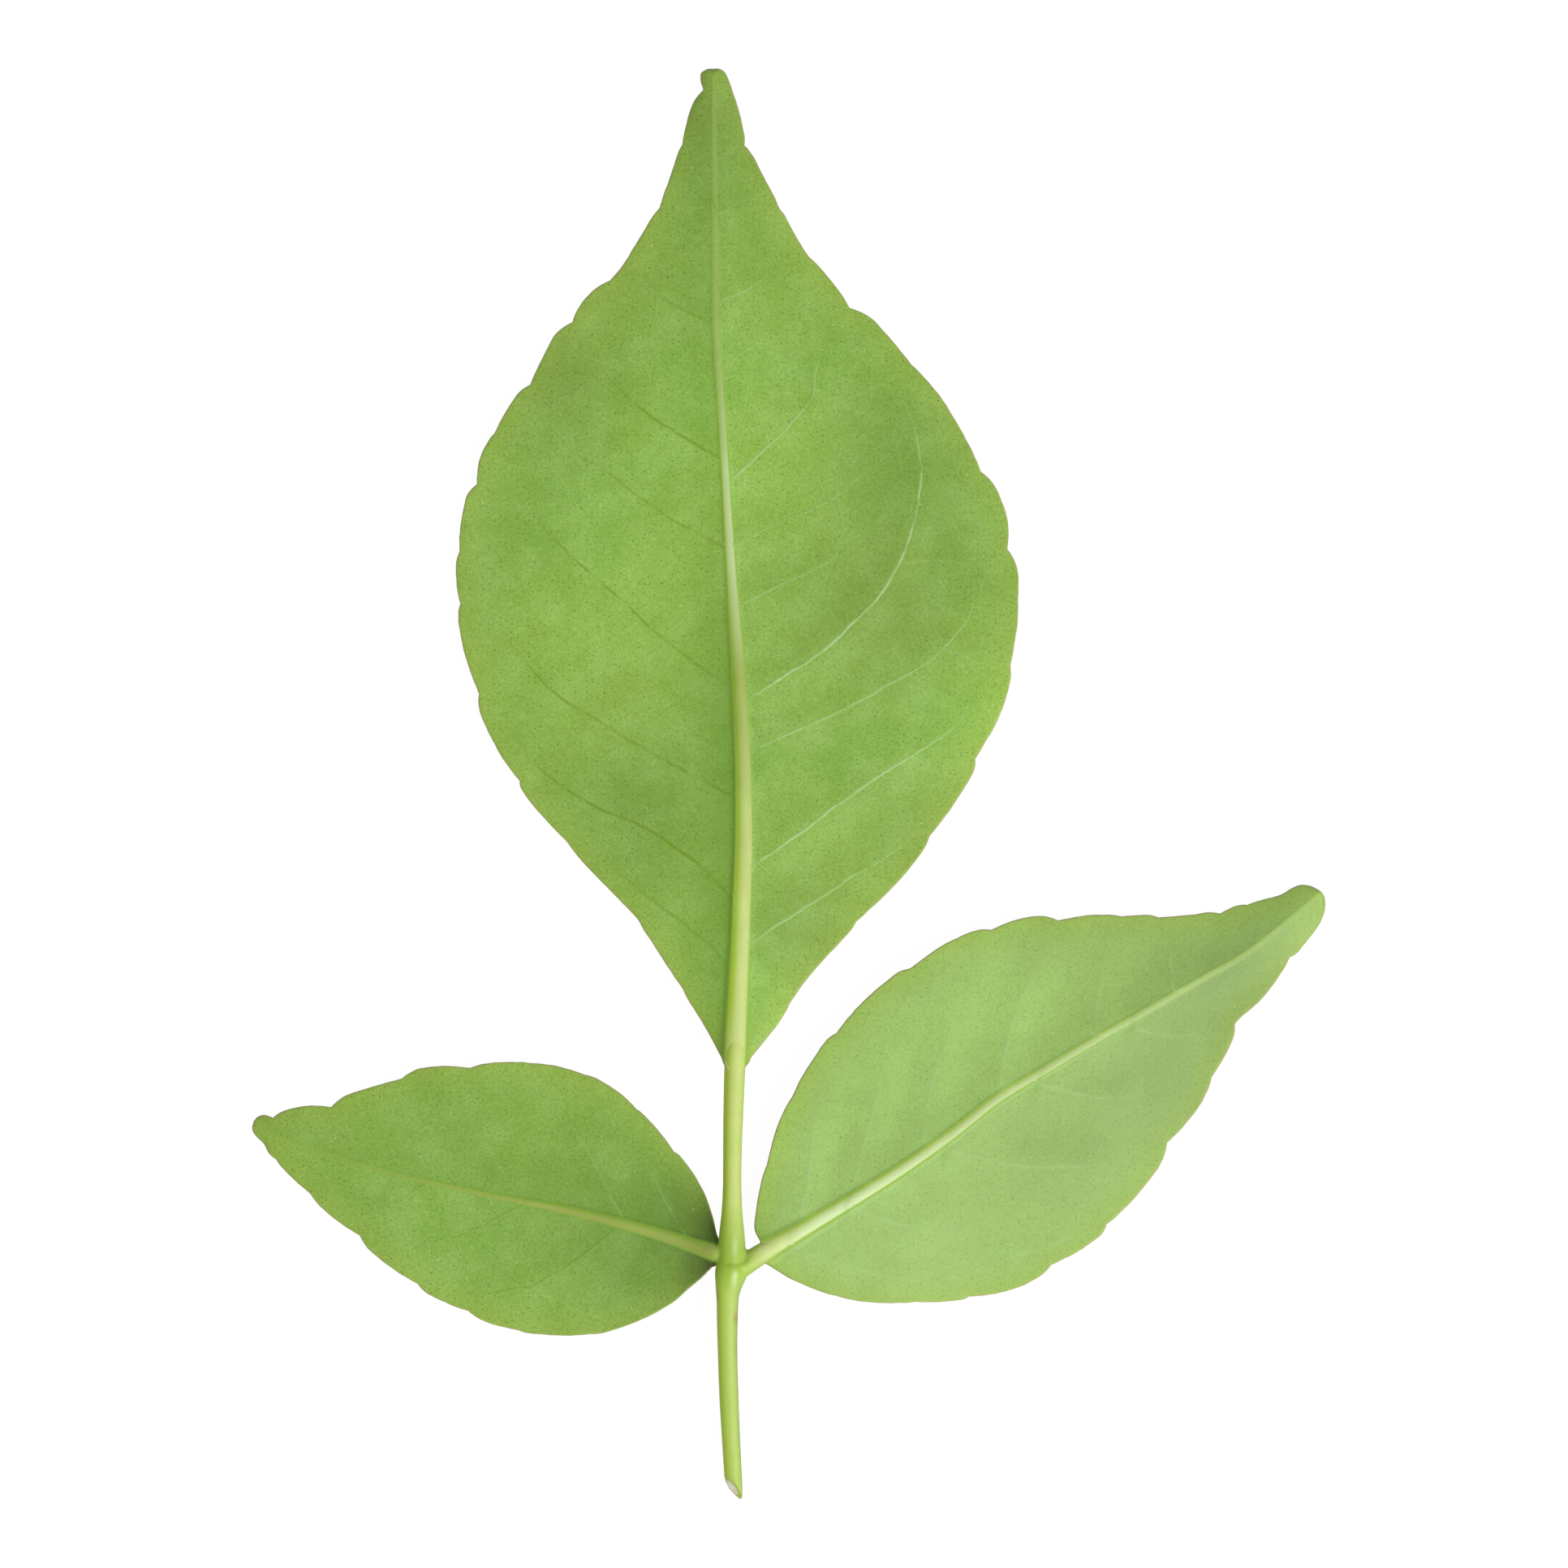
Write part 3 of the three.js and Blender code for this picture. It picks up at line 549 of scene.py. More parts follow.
def vein_fields(leaflet, spots):
    """Relief of the side veins, how much of each place is vein, its tone, which is how much of a
    painted highlight it takes, and the swelling of the blade there."""
    count = len(spots)
    relief, mask, tone, shoulder = (np.zeros(count) for _ in range(4))
    reach = 3 * SHOULDER_WIDTH
    for side_name, _ in SIDES:
        side = leaflet[side_name]
        for strength, *points in side["veins"]:
            line = vein_line(points)
            near = np.all((spots > line.min(0) - reach) & (spots < line.max(0) + reach), axis=1)
            gap, place = distance_to(line, spots[near])
            lead = np.maximum(ease(place / VEIN_LEAD), 1 - side["vein_highlight_share"])
            fade = ease((1 - place) / VEIN_FADE) * lead
            half = between(VEIN_HALF, place) * between(VEIN_SLIM, strength)
            half *= between(SHEENED_VEIN_WIDTH, leaflet["painted_sheen"])
            rise = between(VEIN_RISE, place) * strength * fade
            rise *= between(SHEENED_VEIN_RISE, leaflet["painted_sheen"])
            bump = rise * np.maximum(1 - (gap / half) ** 2, 0) ** 2
            inked = between(VEIN_INK, strength) * fade * ease(VEIN_EDGE - gap / half)
            swell = SHOULDER_RISE * strength * fade * np.exp(-(gap / SHOULDER_WIDTH) ** 2)
            tone[near] = np.where(inked > mask[near], side["vein_highlight_share"], tone[near])
            relief[near] = np.maximum(relief[near], bump)
            mask[near] = np.maximum(mask[near], inked)
            shoulder[near] = np.maximum(shoulder[near], swell)
    return relief, mask, tone, shoulder


# ---------------------------------------------------------------- mesh of the blade

def margin_line(leaflet, side_name):
    """The margin from foot to tip: a point about every EDGE_STEP, and one at each notch's root."""
    notches = [place for place, _ in leaflet[side_name]["notches"]]
    stops = [leaflet["base"] - leaflet["foot"], *notches, leaflet["tip"]]
    points = []
    for low, high in zip(stops, stops[1:]):
        y = np.linspace(low, high, EDGE_SAMPLES)
        line = np.column_stack([margin_x(leaflet, side_name, y), y])
        reach = np.concatenate([[0], np.cumsum(np.linalg.norm(np.diff(line, axis=0), axis=1))])
        places = np.linspace(0, reach[-1], math.ceil(reach[-1] / EDGE_STEP) + 1)[:-1]
        points.append(np.column_stack([np.interp(places, reach, line[:, k]) for k in (0, 1)]))
    tip = [[margin_x(leaflet, side_name, np.array(leaflet["tip"])), leaflet["tip"]]]
    return np.concatenate([*points, tip])


def blade_points(leaflet, outline):
    """Places for the blade's points: its margin, rows beside the margin, the midrib and the side
    veins, and an even fill between them."""
    closed = np.vstack([outline, outline[:1]])
    points = [outline]

    def add(found, spacing, clear):
        found = found[(found[:, 1] > outline[:, 1].min()) & (found[:, 1] < leaflet["tip"])]
        left = margin_x(leaflet, "left", found[:, 1])
        right = margin_x(leaflet, "right", found[:, 1])
        found = found[(found[:, 0] > left) & (found[:, 0] < right)]
        found = found[distance_to(closed, found)[0] > clear]
        taken = np.concatenate(points)
        tree = kdtree.KDTree(len(taken))
        for i, (x, y) in enumerate(taken):
            tree.insert((x, y, 0), i)
        tree.balance()
        kept = [p for p in found if tree.find((p[0], p[1], 0))[2] > spacing]
        if kept:
            points.append(np.array(kept))

    for depth in RIM_RINGS:
        ring = offset_line(closed, depth)[:-1]
        add(ring, RIM_GAP * depth, RIM_CLEAR * depth)
    y = np.arange(leaflet["base"] - leaflet["foot"], leaflet["tip"], RIB_STEP)
    middle, radius = along(leaflet["midrib"], y), along(leaflet["rib_radius"], y)
    for across in RIB_LINES:
        for outward in (1, -1) if across else (1,):
            add(np.column_stack([middle + outward * across * radius, y]), RIB_GAP, RIB_CLEAR)
    for side_name, _ in SIDES:
        for strength, *line in leaflet[side_name]["veins"]:
            centre = vein_line(line)
            half = np.linspace(*VEIN_HALF, len(centre)) * between(VEIN_SLIM, strength)
            lines = [offset_line(centre, sign * n * half) for n in VEIN_LINES for sign in (-1, 1)]
            add(np.concatenate(lines[1:]), VEIN_GAP, VEIN_CLEAR)
    low, high = outline.min(0), outline.max(0)
    rows = []
    for row, y in enumerate(np.arange(low[1], high[1], FILL_STEP * math.sqrt(0.75))):
        x = np.arange(low[0], high[0], FILL_STEP) + (row % 2) * FILL_STEP / 2
        rows.append(np.column_stack([x, np.full(len(x), y)]))
    fill = np.concatenate(rows)
    shift = np.random.default_rng(FILL_SEED).uniform(-FILL_JITTER, FILL_JITTER, fill.shape)
    add(fill + shift * FILL_STEP, FILL_GAP * FILL_STEP, FILL_CLEAR * FILL_STEP)
    return np.concatenate(points)


def to_row_frame(leaflet, x, y, z):
    """Points of a leaflet's own frame, in millimetres, as points of the whole leaf, in metres."""
    turn = math.radians(leaflet["turn"])
    row_x = leaflet["joint"][0] + y * math.sin(turn) + x * math.cos(turn)
    row_y = leaflet["joint"][1] + y * math.cos(turn) - x * math.sin(turn)
    return np.column_stack([row_x, row_y, z]) * MM


def to_leaflet_frame(leaflet, x, y):
    """Places of the whole leaf in a leaflet's own frame, in millimetres."""
    turn = math.radians(leaflet["turn"])
    x, y = x - leaflet["joint"][0], y - leaflet["joint"][1]
    return x * math.cos(turn) - y * math.sin(turn), x * math.sin(turn) + y * math.cos(turn)


def add_object(name, data):
    made = bpy.data.objects.new(name, data)
    bpy.context.scene.collection.objects.link(made)
    return made


def make_piece(name, points, faces, node, materials, finish, values):
    """A smooth mesh that takes a node's place. points are in metres, finish gives each face's
    material, and values holds the numbers that its materials read, point by point."""
    mesh = bpy.data.meshes.new(name)
    mesh.from_pydata(points.tolist(), [], faces)
    for material in materials:
        mesh.materials.append(material)
    mesh.polygons.foreach_set("use_smooth", [True] * len(mesh.polygons))
    mesh.polygons.foreach_set("material_index", finish)
    for key, numbers in values.items():
        attribute = mesh.attributes.new(key, "FLOAT", "POINT")
        attribute.data.foreach_set("value", np.asarray(numbers, np.float32))
    piece = add_object(name, mesh)
    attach(piece, "root")
    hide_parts(node)


def light_and_shade_patches(leaflet, x, y):
    """Painted light and shade on a blade, as paler and deeper places: a share that its colour gains or
    loses.
    """
    total = np.zeros(len(x))
    for patch_x, patch_y, size, gain in leaflet["light_and_shade_patches"]:
        total += gain * np.exp(-((x - patch_x) ** 2 + (y - patch_y) ** 2) / size ** 2)
    return total


def make_blade(leaflet, seed, materials):
    """The blade with its midrib and veins: the veined face above, the smooth one below, and a
    round rim between them."""
    left, right = margin_line(leaflet, "left"), margin_line(leaflet, "right")
    outline = np.vstack([right, left[::-1]])
    spots = blade_points(leaflet, outline)
    count = len(outline)
    ring = [(i, (i + 1) % count) for i in range(count)]
    found = delaunay_2d_cdt([Vector(p) for p in spots], ring, [], 1, 1e-6)
    spots = np.array([tuple(p) for p in found[0]])
    triangles = np.array(found[2])
    on_rim = np.array([any(i < count for i in ids) for ids in found[3]])
    x, y = spots.T

    edge = distance_to(np.vstack([outline, outline[:1]]), spots)[0]
    edge[on_rim] = 0
    radius = along(leaflet["rib_radius"], y)
    beside = x - along(leaflet["midrib"], y)
    across = np.abs(beside) / radius
    reach = np.clip((y - leaflet["base"]) / (leaflet["tip"] - leaflet["base"]), 0, 1)
    rib = rib_shape(across)
    relief, mask, tone, shoulder = vein_fields(leaflet, spots)
    shoulder += between(RIB_SWELL, reach) * np.exp(-(across * radius / RIB_SWELL_WIDTH) ** 2)
    low, share = blade_height(leaflet, x, y)
    uneven = unevenness(UNEVENNESS, x, y, seed)
    low += uneven * ease(share / EVEN_SHARE) * ease((leaflet["tip"] - y) / EVEN_TIP)
    low = np.maximum(low, 0)
    shoulder *= 1 - share ** SHOULDER_END
    top = low + between((BLADE_THICKNESS, RIM_THICKNESS), share) + shoulder
    high = top + rib * radius * (RIB_RISE * along(RIB_SINK, reach)) + relief
    low = low + shoulder + rib * RIB_GROOVE * np.minimum(radius / GROOVE_RADIUS, 1)
    half = RIM_THICKNESS / 2
    round_off = half - np.sqrt(np.maximum(half ** 2 - np.maximum(half - edge, 0) ** 2, 0))
    high -= round_off
    low = np.minimum(low + round_off, high)

    # The rim's points belong to both faces; every other place has a point on each.
    lower = np.arange(len(spots))
    lower[~on_rim] = len(spots) + np.arange(np.count_nonzero(~on_rim))
    points = np.vstack([
        to_row_frame(leaflet, x, y, high),
        to_row_frame(leaflet, x[~on_rim], y[~on_rim], low[~on_rim]),
    ])
    flat = spots[triangles]
    turned = np.cross(flat[:, 1] - flat[:, 0], flat[:, 2] - flat[:, 0]) < 0
    triangles[turned] = triangles[turned][:, ::-1]
    faces = np.vstack([triangles, lower[triangles][:, ::-1]])
    finish = [0] * len(triangles) + [1] * len(triangles)

    # What the finishes read
    # The midrib's shaded side, where shade is painted: a shadow beside the midrib, and lime on its crest
    # and flank
    shaded = beside / radius * dict(SIDES)[leaflet["shaded"]]
    gap = (shaded - 1) * radius
    rib_shadow = sum(strength * np.exp(-(gap / width) ** 2) for strength, width in RIB_SHADOW)
    rib_shadow *= ease(gap / RIB_SHADOW_EDGE[0] + RIB_SHADOW_EDGE[1]) * along(leaflet["rib_shadow"], y)
    crest_tone, milk, crest_width = (
        along([[row[0], row[k]] for row in leaflet["crest"]], y) for k in (1, 2, 3)
    )
    from_crest = np.abs(beside - leaflet["crest_shift"]) / radius
    lime = ease((shaded - LIME_START) / LIME_EDGE) * (1 - reach)
    fields = {
        "vein": mask, "vein_highlight_share": tone, "rib": rib, "edge": edge, "rib_shadow": rib_shadow,
        "flank_lime": leaflet["lime_flank"] * ease(shaded * FLANK_LIME[0] + FLANK_LIME[1]),
        "crest": ease((crest_width - from_crest) / CREST_EDGE + 0.5),
        "crest_tone": crest_tone, "milk": milk,
        "lime": leaflet["lime"] * lime * ease(reach * LIME_LEAD[0] + LIME_LEAD[1]),
        "tone": light_and_shade_patches(leaflet, x, y),
        "reach": reach,
        "painted_sheen": np.full(len(spots), leaflet["painted_sheen"]),
    }
    values = {key: np.concatenate([v, v[~on_rim]]) for key, v in fields.items()}
    name = leaflet["name"]
    blade = name.replace("leaflet", "blade")
    make_piece(blade, points, faces.tolist(), name, materials, finish, values)


# ---------------------------------------------------------------- stalks

def tube(rings):
    """Points and faces of a closed tube through equal rings of points, with a fan over each end."""
    points = np.concatenate(rings)
    sides = len(rings[0])
    faces = []
    for row in range(len(rings) - 1):
        for i in range(sides):
            a, b = row * sides + i, row * sides + (i + 1) % sides
            faces.append((a, b, b + sides, a + sides))
    first, last = len(points), len(points) + 1
    end = (len(rings) - 1) * sides
    for i in range(sides):
        j = (i + 1) % sides
        faces.append((first, j, i))
        faces.append((last, end + i, end + j))
    return np.vstack([points, rings[0].mean(0), rings[-1].mean(0)]), faces


def ring_at(x, y, z, radius, slope=0, lean=0):
    """A round section, square to y unless slope or lean slants it."""
    angle = -2 * math.pi * np.arange(STALK_SIDES) / STALK_SIDES
    across, up = radius * np.cos(angle), radius * np.sin(angle)
    return np.column_stack([x + across, y + slope * across + lean * up, z + up])


def leaflet_stalk(leaflet):
    """A leaflet's own stalk, from inside the joint until it has sunk into the midrib."""
    base = leaflet["base"]
    y = np.arange(-leaflet["root"], base + SINK_RUN, STALK_STEP)
    radius = along(leaflet["rib_radius"], y)
    crest = along(leaflet["ridge"], y) + BLADE_THICKNESS + radius * RIB_RISE * RIB_SINK[0][1]
    radius *= 1 - SINK_TAPER * ease((y - base) / SINK_RUN)
    sunk = SINK_DEPTH * ease((y - base - SINK_START) / (SINK_RUN - SINK_START)) - SINK_COVER
    height = along(leaflet["stalk_centre"], y)
    height += ease((y - base) / CLIMB_RUN + CLIMB_LEVEL) * (crest - sunk - radius - height)
    middle = along(leaflet["midrib"], y)
    points, faces = tube([ring_at(*ring) for ring in zip(middle, y, height, radius)])
    return to_row_frame(leaflet, *points.T) / MM, faces


def leaf_stalk():
    """The leaf stalk: slender, swollen at its joint, and cut on the slant at its far end."""
    x, y, z, radius = (np.column_stack([range(len(STALK_RINGS)), v]) for v in zip(*STALK_RINGS))
    rings = []
    for place in np.linspace(0, len(STALK_RINGS) - 1, RINGS_PER_ROW * len(STALK_RINGS)):
        cut = max(0, 1 - place)
        ring = [float(along(profile, place)) for profile in (x, y, z, radius)]
        rings.append(ring_at(*ring, CUT_SLOPE * cut, CUT_LEAN * cut))
    return tube(rings)


def grown_together(parts):
    """One smooth skin over tubes that run into each other, in millimetres."""
    mesh = bpy.data.meshes.new("stalks")
    points, faces = [], []
    for part_points, part_faces in parts:
        faces += [[i + len(points) for i in face] for face in part_faces]
        points += part_points.tolist()
    mesh.from_pydata(points, [], faces)
    rough = add_object("stalks", mesh)
    skin = rough.modifiers.new("skin", "REMESH")
    skin.mode = "VOXEL"
    skin.voxel_size = SKIN_GRAIN
    soften = rough.modifiers.new("soften", "SMOOTH")
    soften.factor = 0.5
    soften.iterations = SKIN_SOFTENING
    smooth = rough.evaluated_get(bpy.context.evaluated_depsgraph_get()).to_mesh()
    points = np.array([v.co for v in smooth.vertices])
    normals = np.array([v.normal for v in smooth.vertices])
    faces = [tuple(face.vertices) for face in smooth.polygons]
    rough.evaluated_get(bpy.context.evaluated_depsgraph_get()).to_mesh_clear()
    bpy.data.objects.remove(rough)
    return points, normals, faces


def make_stalks(materials):
    """The leaf stalk and the leaflets' own stalks, grown together at the joint."""
    parts = [leaf_stalk()] + [leaflet_stalk(leaflet) for leaflet in LEAFLETS]
    points, normals, faces = grown_together(parts)
    x, y, z = points.T

    # The crease where the end leaflet's stalk would drop off
    middle, level, bend = CREASE
    across = (x - middle) * CREASE_SCALE
    gap = y - (level + bend * across ** 3)
    crease = np.exp(-(gap / CREASE_WIDTH) ** 2)
    for (_, outward), (reach, softness) in zip(SIDES, CREASE_ENDS):
        crease *= ease(((middle - x) * outward + reach) / softness)
    points = points - normals * (CREASE_DEPTH * crease)[:, None]

    # The cut end, with its pale core to the left of the middle
    cut_x, cut_y, cut_z, cut_radius = STALK_RINGS[0]
    outward = np.array([CUT_SLOPE, -1, CUT_LEAN]) / math.hypot(CUT_SLOPE, 1, CUT_LEAN)
    from_cut = np.abs((points - [cut_x, cut_y, cut_z]) @ outward)
    on_cut = (from_cut < CUT_DEPTH) & (normals @ outward > CUT_FACING)
    finish = [int(on_cut[list(face)].sum() > 2) for face in faces]
    from_core = np.hypot(x - cut_x + CORE_SHIFT, z - cut_z) / cut_radius

    # Scars, painted highlights and the greener rind of the joint
    scar, painted_highlight = np.zeros(len(points)), np.zeros(len(points))
    for marks, spots in ((scar, SCARS), (painted_highlight, PAINTED_HIGHLIGHTS)):
        for spot_x, spot_y, length, strength in spots:
            away = np.hypot((x - spot_x) / MARK_HALF, (y - spot_y) / length)
            marks[:] = np.maximum(marks, strength * np.exp(-away ** 2))
    stretch = np.where(y > JOINT[1], *JOINT_STRETCH)
    from_joint = np.hypot(x - JOINT[0], (y - JOINT[1]) * stretch)
    values = {
        "facing_up": normals[:, 2], "facing_left": -normals[:, 0],
        "joint": ease((JOINT_REACH - from_joint) / JOINT_EDGE),
        "upper": ease((y - UPPER_START) / UPPER_RUN),
        "core": ease((CORE_SHARE - from_core) / CORE_EDGE + 0.5),
        "painted_highlight": painted_highlight * ease(normals[:, 2] / HIGHLIGHT_FACING),
        "crease": crease, "scar": scar,
    }

    # How far each side leaflet's stalk has grown into its midrib, where it takes on the midrib's tone;
    # the left one's end is also painted darker there, as shade
    for leaflet in LEAFLETS[1:]:
        beside, far = to_leaflet_frame(leaflet, x, y)
        grown = ease((far - leaflet["base"] + GROWN_START) / GROWN_RUN)
        grown *= ease((GROWN_SIDE[0] - np.abs(beside)) / GROWN_SIDE[1])
        values[leaflet["stalk_end"]] = grown
    make_piece("leaf_stalks", points * MM, faces, "petiole", materials, finish, values)


# ---------------------------------------------------------------- finishes

def colour(hex_value):
    """An sRGB hex colour as linear red, green, blue and alpha."""
    parts = [int(hex_value[i:i + 2], 16) / 255 for i in (1, 3, 5)]
    return [p / 12.92 if p <= 0.04045 else ((p + 0.055) / 1.055) ** 2.4 for p in parts] + [1]


def node(tree, kind, settings, inputs, output=0):
    """Adds a shader node. settings are its properties; inputs are values, hex colours, or outputs to
    link from. Gives back one of its own outputs."""
    made = tree.nodes.new("ShaderNode" + kind)
    for key, value in settings.items():
        setattr(made, key, value)
    for key, value in inputs.items():
        if isinstance(value, bpy.types.NodeSocket):
            tree.links.new(value, made.inputs[key])
        else:
            made.inputs[key].default_value = colour(value) if isinstance(value, str) else value
    return made.outputs[output] if made.outputs else None


def new_material(name):
    material = bpy.data.materials.new(name)
    material.use_nodes = True
    material.node_tree.nodes.clear()
    return material, material.node_tree


def per_metre(millimetres):
    """Scale of a pattern whose grain has this size."""
    return 1 / (millimetres * MM)


MIX = {"data_type": "RGBA"}
TINT = {"data_type": "RGBA", "blend_type": "MULTIPLY"}
ADD = {"operation": "ADD"}
SCALE = {"operation": "SCALE"}
MULTIPLY = {"operation": "MULTIPLY"}
MULTIPLY_ADD = {"operation": "MULTIPLY_ADD"}
SMOOTH = {"interpolation_type": "SMOOTHSTEP"}
FLAT_CELLS = {"voronoi_dimensions": "2D"}
FLAT_CELL_WALLS = {"voronoi_dimensions": "2D", "feature": "DISTANCE_TO_EDGE"}

# Fresh leaf blade, grown with oil glands between its two skins. The eye sees cloudy green, dark
# pinprick glands, thin veins, a yellower margin and the soft sheen of its waxy skin. Some colours are
# painted light and shade: a paler painted sheen, painted highlights on side veins, lime on the
# midrib's shaded side and a painted shadow beside it. The face that lies down is a deeper and
# glossier green, with paler veins.
BLADE_LOOKS = {
    "fresh_leaf_underside": {
        "green": "#7aa43b", "yellow": "#85a93f", "milky": "#91b55e", "gland": "#55802f",
        "vein_dark": "#73901c", "vein_highlight": "#9fc07c", "flank": "#85a738",
        "flank_lime": "#8cab20", "flank_painted_sheen": "#aacb45", "crest_dull": "#8b9d42",
        "crest_pale": "#c1cf7f", "crest_milk": "#c5daad", "rib_shadow": "#5c8418",
        "rim": "#a59c60", "margin": "#92ae46", "painted_sheen": "#93b363", "through": "#8fae2c",
        "roughness": 0.5, "gland_depth": 0.2,
    },
    "fresh_leaf_face": {
        "green": "#3f6a24", "yellow": "#4d7428", "milky": "#44702f", "gland": "#2f5620",
        "vein_dark": "#6f9040", "vein_highlight": "#789a49", "flank": "#7f9c42",
        "flank_lime": "#6f8f38", "flank_painted_sheen": "#7f9c42", "crest_dull": "#7a963f",
        "crest_pale": "#93ac52", "crest_milk": "#9cb264", "rib_shadow": "#3f6a24",
        "rim": "#7d9447", "margin": "#4f7a2c", "painted_sheen": "#44702a", "through": "#7da32c",
        "roughness": 0.34, "gland_depth": 0.1,
    },
}
SPECK = "#cfd8a8"
# Lime tint on the shaded half of the midrib's crest: painted shade
CREST_TINT = "#e6ff80"

# Sizes of the patterns, in millimetres. Glands, small veins and grain are drawn coarser than the
# real ones, which are too fine to show.
GLAND_SPACING = 0.42
GLAND_RADIUS = 0.043
SPECK_SPACING = 3.3
VEINLET_SPACING = 1.5
VEINLET_BEND = 1.2
VEIN_BREAK = 1.6
CLOUD = 2.6
DRIFT = 14
GRAIN = 0.17
BLADE_RELIEF = 0.05     # height of the grain, glands and small veins
THROUGH = 0.22          # share of light that goes through the blade

RIND_CLOUD = 1.8
RIND_STREAK = 0.3       # the rind's cells lie in rows this far apart
RIND_STRETCH = 0.12     # and run on along the stalk
RIND_RELIEF = 0.04
PITH_PATCH = 0.35
PITH_RELIEF = 0.05


def blade_material(name, look):
    """One face of the fresh leaf blade."""
    material, tree = new_material(name)
    place = node(tree, "TexCoord", {}, {}, "Object")
    names = (
        "vein", "vein_highlight_share", "rib", "flank_lime", "crest", "crest_tone", "milk", "lime", "edge",
        "reach", "painted_sheen", "rib_shadow", "tone",
    )
    field = {key: node(tree, "Attribute", {"attribute_name": key}, {}, "Fac") for key in names}

    # Patterns: slow drifts, smaller clouds, the skin's grain, and gaps that break up the veins
    drift, cloud, grain, gaps = (
        node(tree, "TexNoise", {}, {
            "Vector": place, "Scale": per_metre(size), "Detail": detail, "Roughness": rough,
        })
        for size, detail, rough in (
            (DRIFT, 2, 0.5), (CLOUD, 5, 0.6), (GRAIN, 2, 0.5), (VEIN_BREAK, 2, 0.5),
        )
    )
    bend = node(tree, "TexNoise", {}, {
        "Vector": place, "Scale": per_metre(VEINLET_BEND), "Detail": 1,
    }, "Color")
    bent = node(tree, "VectorMath", MULTIPLY_ADD, {0: bend, 1: [VEINLET_BEND * MM] * 3, 2: place})
    wall = node(tree, "TexVoronoi", FLAT_CELL_WALLS, {
        "Vector": bent, "Scale": per_metre(VEINLET_SPACING),
    })
    cells = []
    for spacing in (GLAND_SPACING, SPECK_SPACING):
        at = {"Vector": place, "Scale": per_metre(spacing)}
        chance = node(tree, "TexVoronoi", FLAT_CELLS, at, "Color")
        cells.append(node(tree, "TexVoronoi", FLAT_CELLS, at, "Distance"))
        cells.append(node(tree, "SeparateColor", {}, {"Color": chance}))
    from_gland, gland_chance, from_speck, speck_chance = cells

    # How each number turns into a share: from where, to where, and its value at both
    size = GLAND_RADIUS / GLAND_SPACING
    gland_size = node(tree, "MapRange", {}, {0: gland_chance, 3: size, 4: size * 2})
    rough = look["roughness"]
    spans = {
        "drift": (SMOOTH, drift, 0.35, 0.65, 0, 1),
        "cloud": (SMOOTH, cloud, 0.36, 0.68, 0.12, 0.5),
        "cloud_shade": ({}, cloud, 0.3, 0.7, 0.965, 1.035),
        "margin": (SMOOTH, field["edge"], 0.2, 2.4, 0.55, 0),
        "grain": ({}, grain, 0.25, 0.75, -0.17, 0.17),
        "veil": ({}, field["painted_sheen"], 0, 1, 1, 0.6),
        "veinlet": (SMOOTH, wall, 0, 0.08, 1, 0),
        "gland": (SMOOTH, from_gland, size * 0.5, gland_size, 1, 0),
        "gland_strength": (SMOOTH, gland_chance, 0.3, 1.1, 0.18, 1),
        "speck": (SMOOTH, from_speck, 0.012, 0.028, 1, 0),
        "speck_rarity": (SMOOTH, speck_chance, 0.6, 0.95, 0, 0.35),
        "vein_break": (SMOOTH, gaps, 0.4, 0.56, 0.3, 1),
        "rib": (SMOOTH, field["rib"], 0.12, 0.5, 0, 1),
        "rib_fade": (SMOOTH, field["reach"], 0.3, 0.95, 1, 0.4),
        "rim": (SMOOTH, field["edge"], 0.03, 0.15, 0.9, 0),
        "rim_dryness": (SMOOTH, gaps, 0.38, 0.6, 0.35, 1),
        "roughness": ({}, grain, 0.2, 0.8, rough - 0.05, rough + 0.08),
    }
    share = {
        key: node(tree, "MapRange", kind, dict(enumerate(values)))
        for key, (kind, *values) in spans.items()
    }
    products = {
        "painted_sheen": (field["painted_sheen"], 0.9),
        "veinlet_colour": (share["veinlet"], 0.1),
        "gland": (share["gland"], share["gland_strength"]),
        "speck": (share["speck"], share["speck_rarity"]),
        "vein": (field["vein"], share["vein_break"]),
        "rib": (share["rib"], share["rib_fade"]),
        "crest": (field["crest"], share["rib_fade"]),
        "rim": (share["rim"], share["rim_dryness"]),
    }
    for key, (one, other) in products.items():
        share[key] = node(tree, "Math", MULTIPLY, {0: one, 1: other})
    gland = node(tree, "Math", MULTIPLY, {0: share["gland"], 1: share["veil"]})

    # Cloudy green, paler where it has a painted sheen, with a yellower margin and patches of painted
    # light and shade. The painted sheen also veils its grain
    skin = look["green"]
    layers = (("drift", "yellow"), ("cloud", "milky"), ("painted_sheen", "painted_sheen"), ("margin", "margin"))
    for key, tint in layers:
        skin = node(tree, "Mix", MIX, {0: share[key], 6: skin, 7: look[tint]}, 2)
    tone = node(tree, "Math", ADD, {0: field["tone"], 1: 1})
    shade = node(tree, "Math", MULTIPLY_ADD, {0: share["grain"], 1: share["veil"], 2: 1})
    for factor in (share["cloud_shade"], tone):
        shade = node(tree, "Math", MULTIPLY, {0: shade, 1: factor})
    skin = node(tree, "VectorMath", SCALE, {0: skin, "Scale": shade})

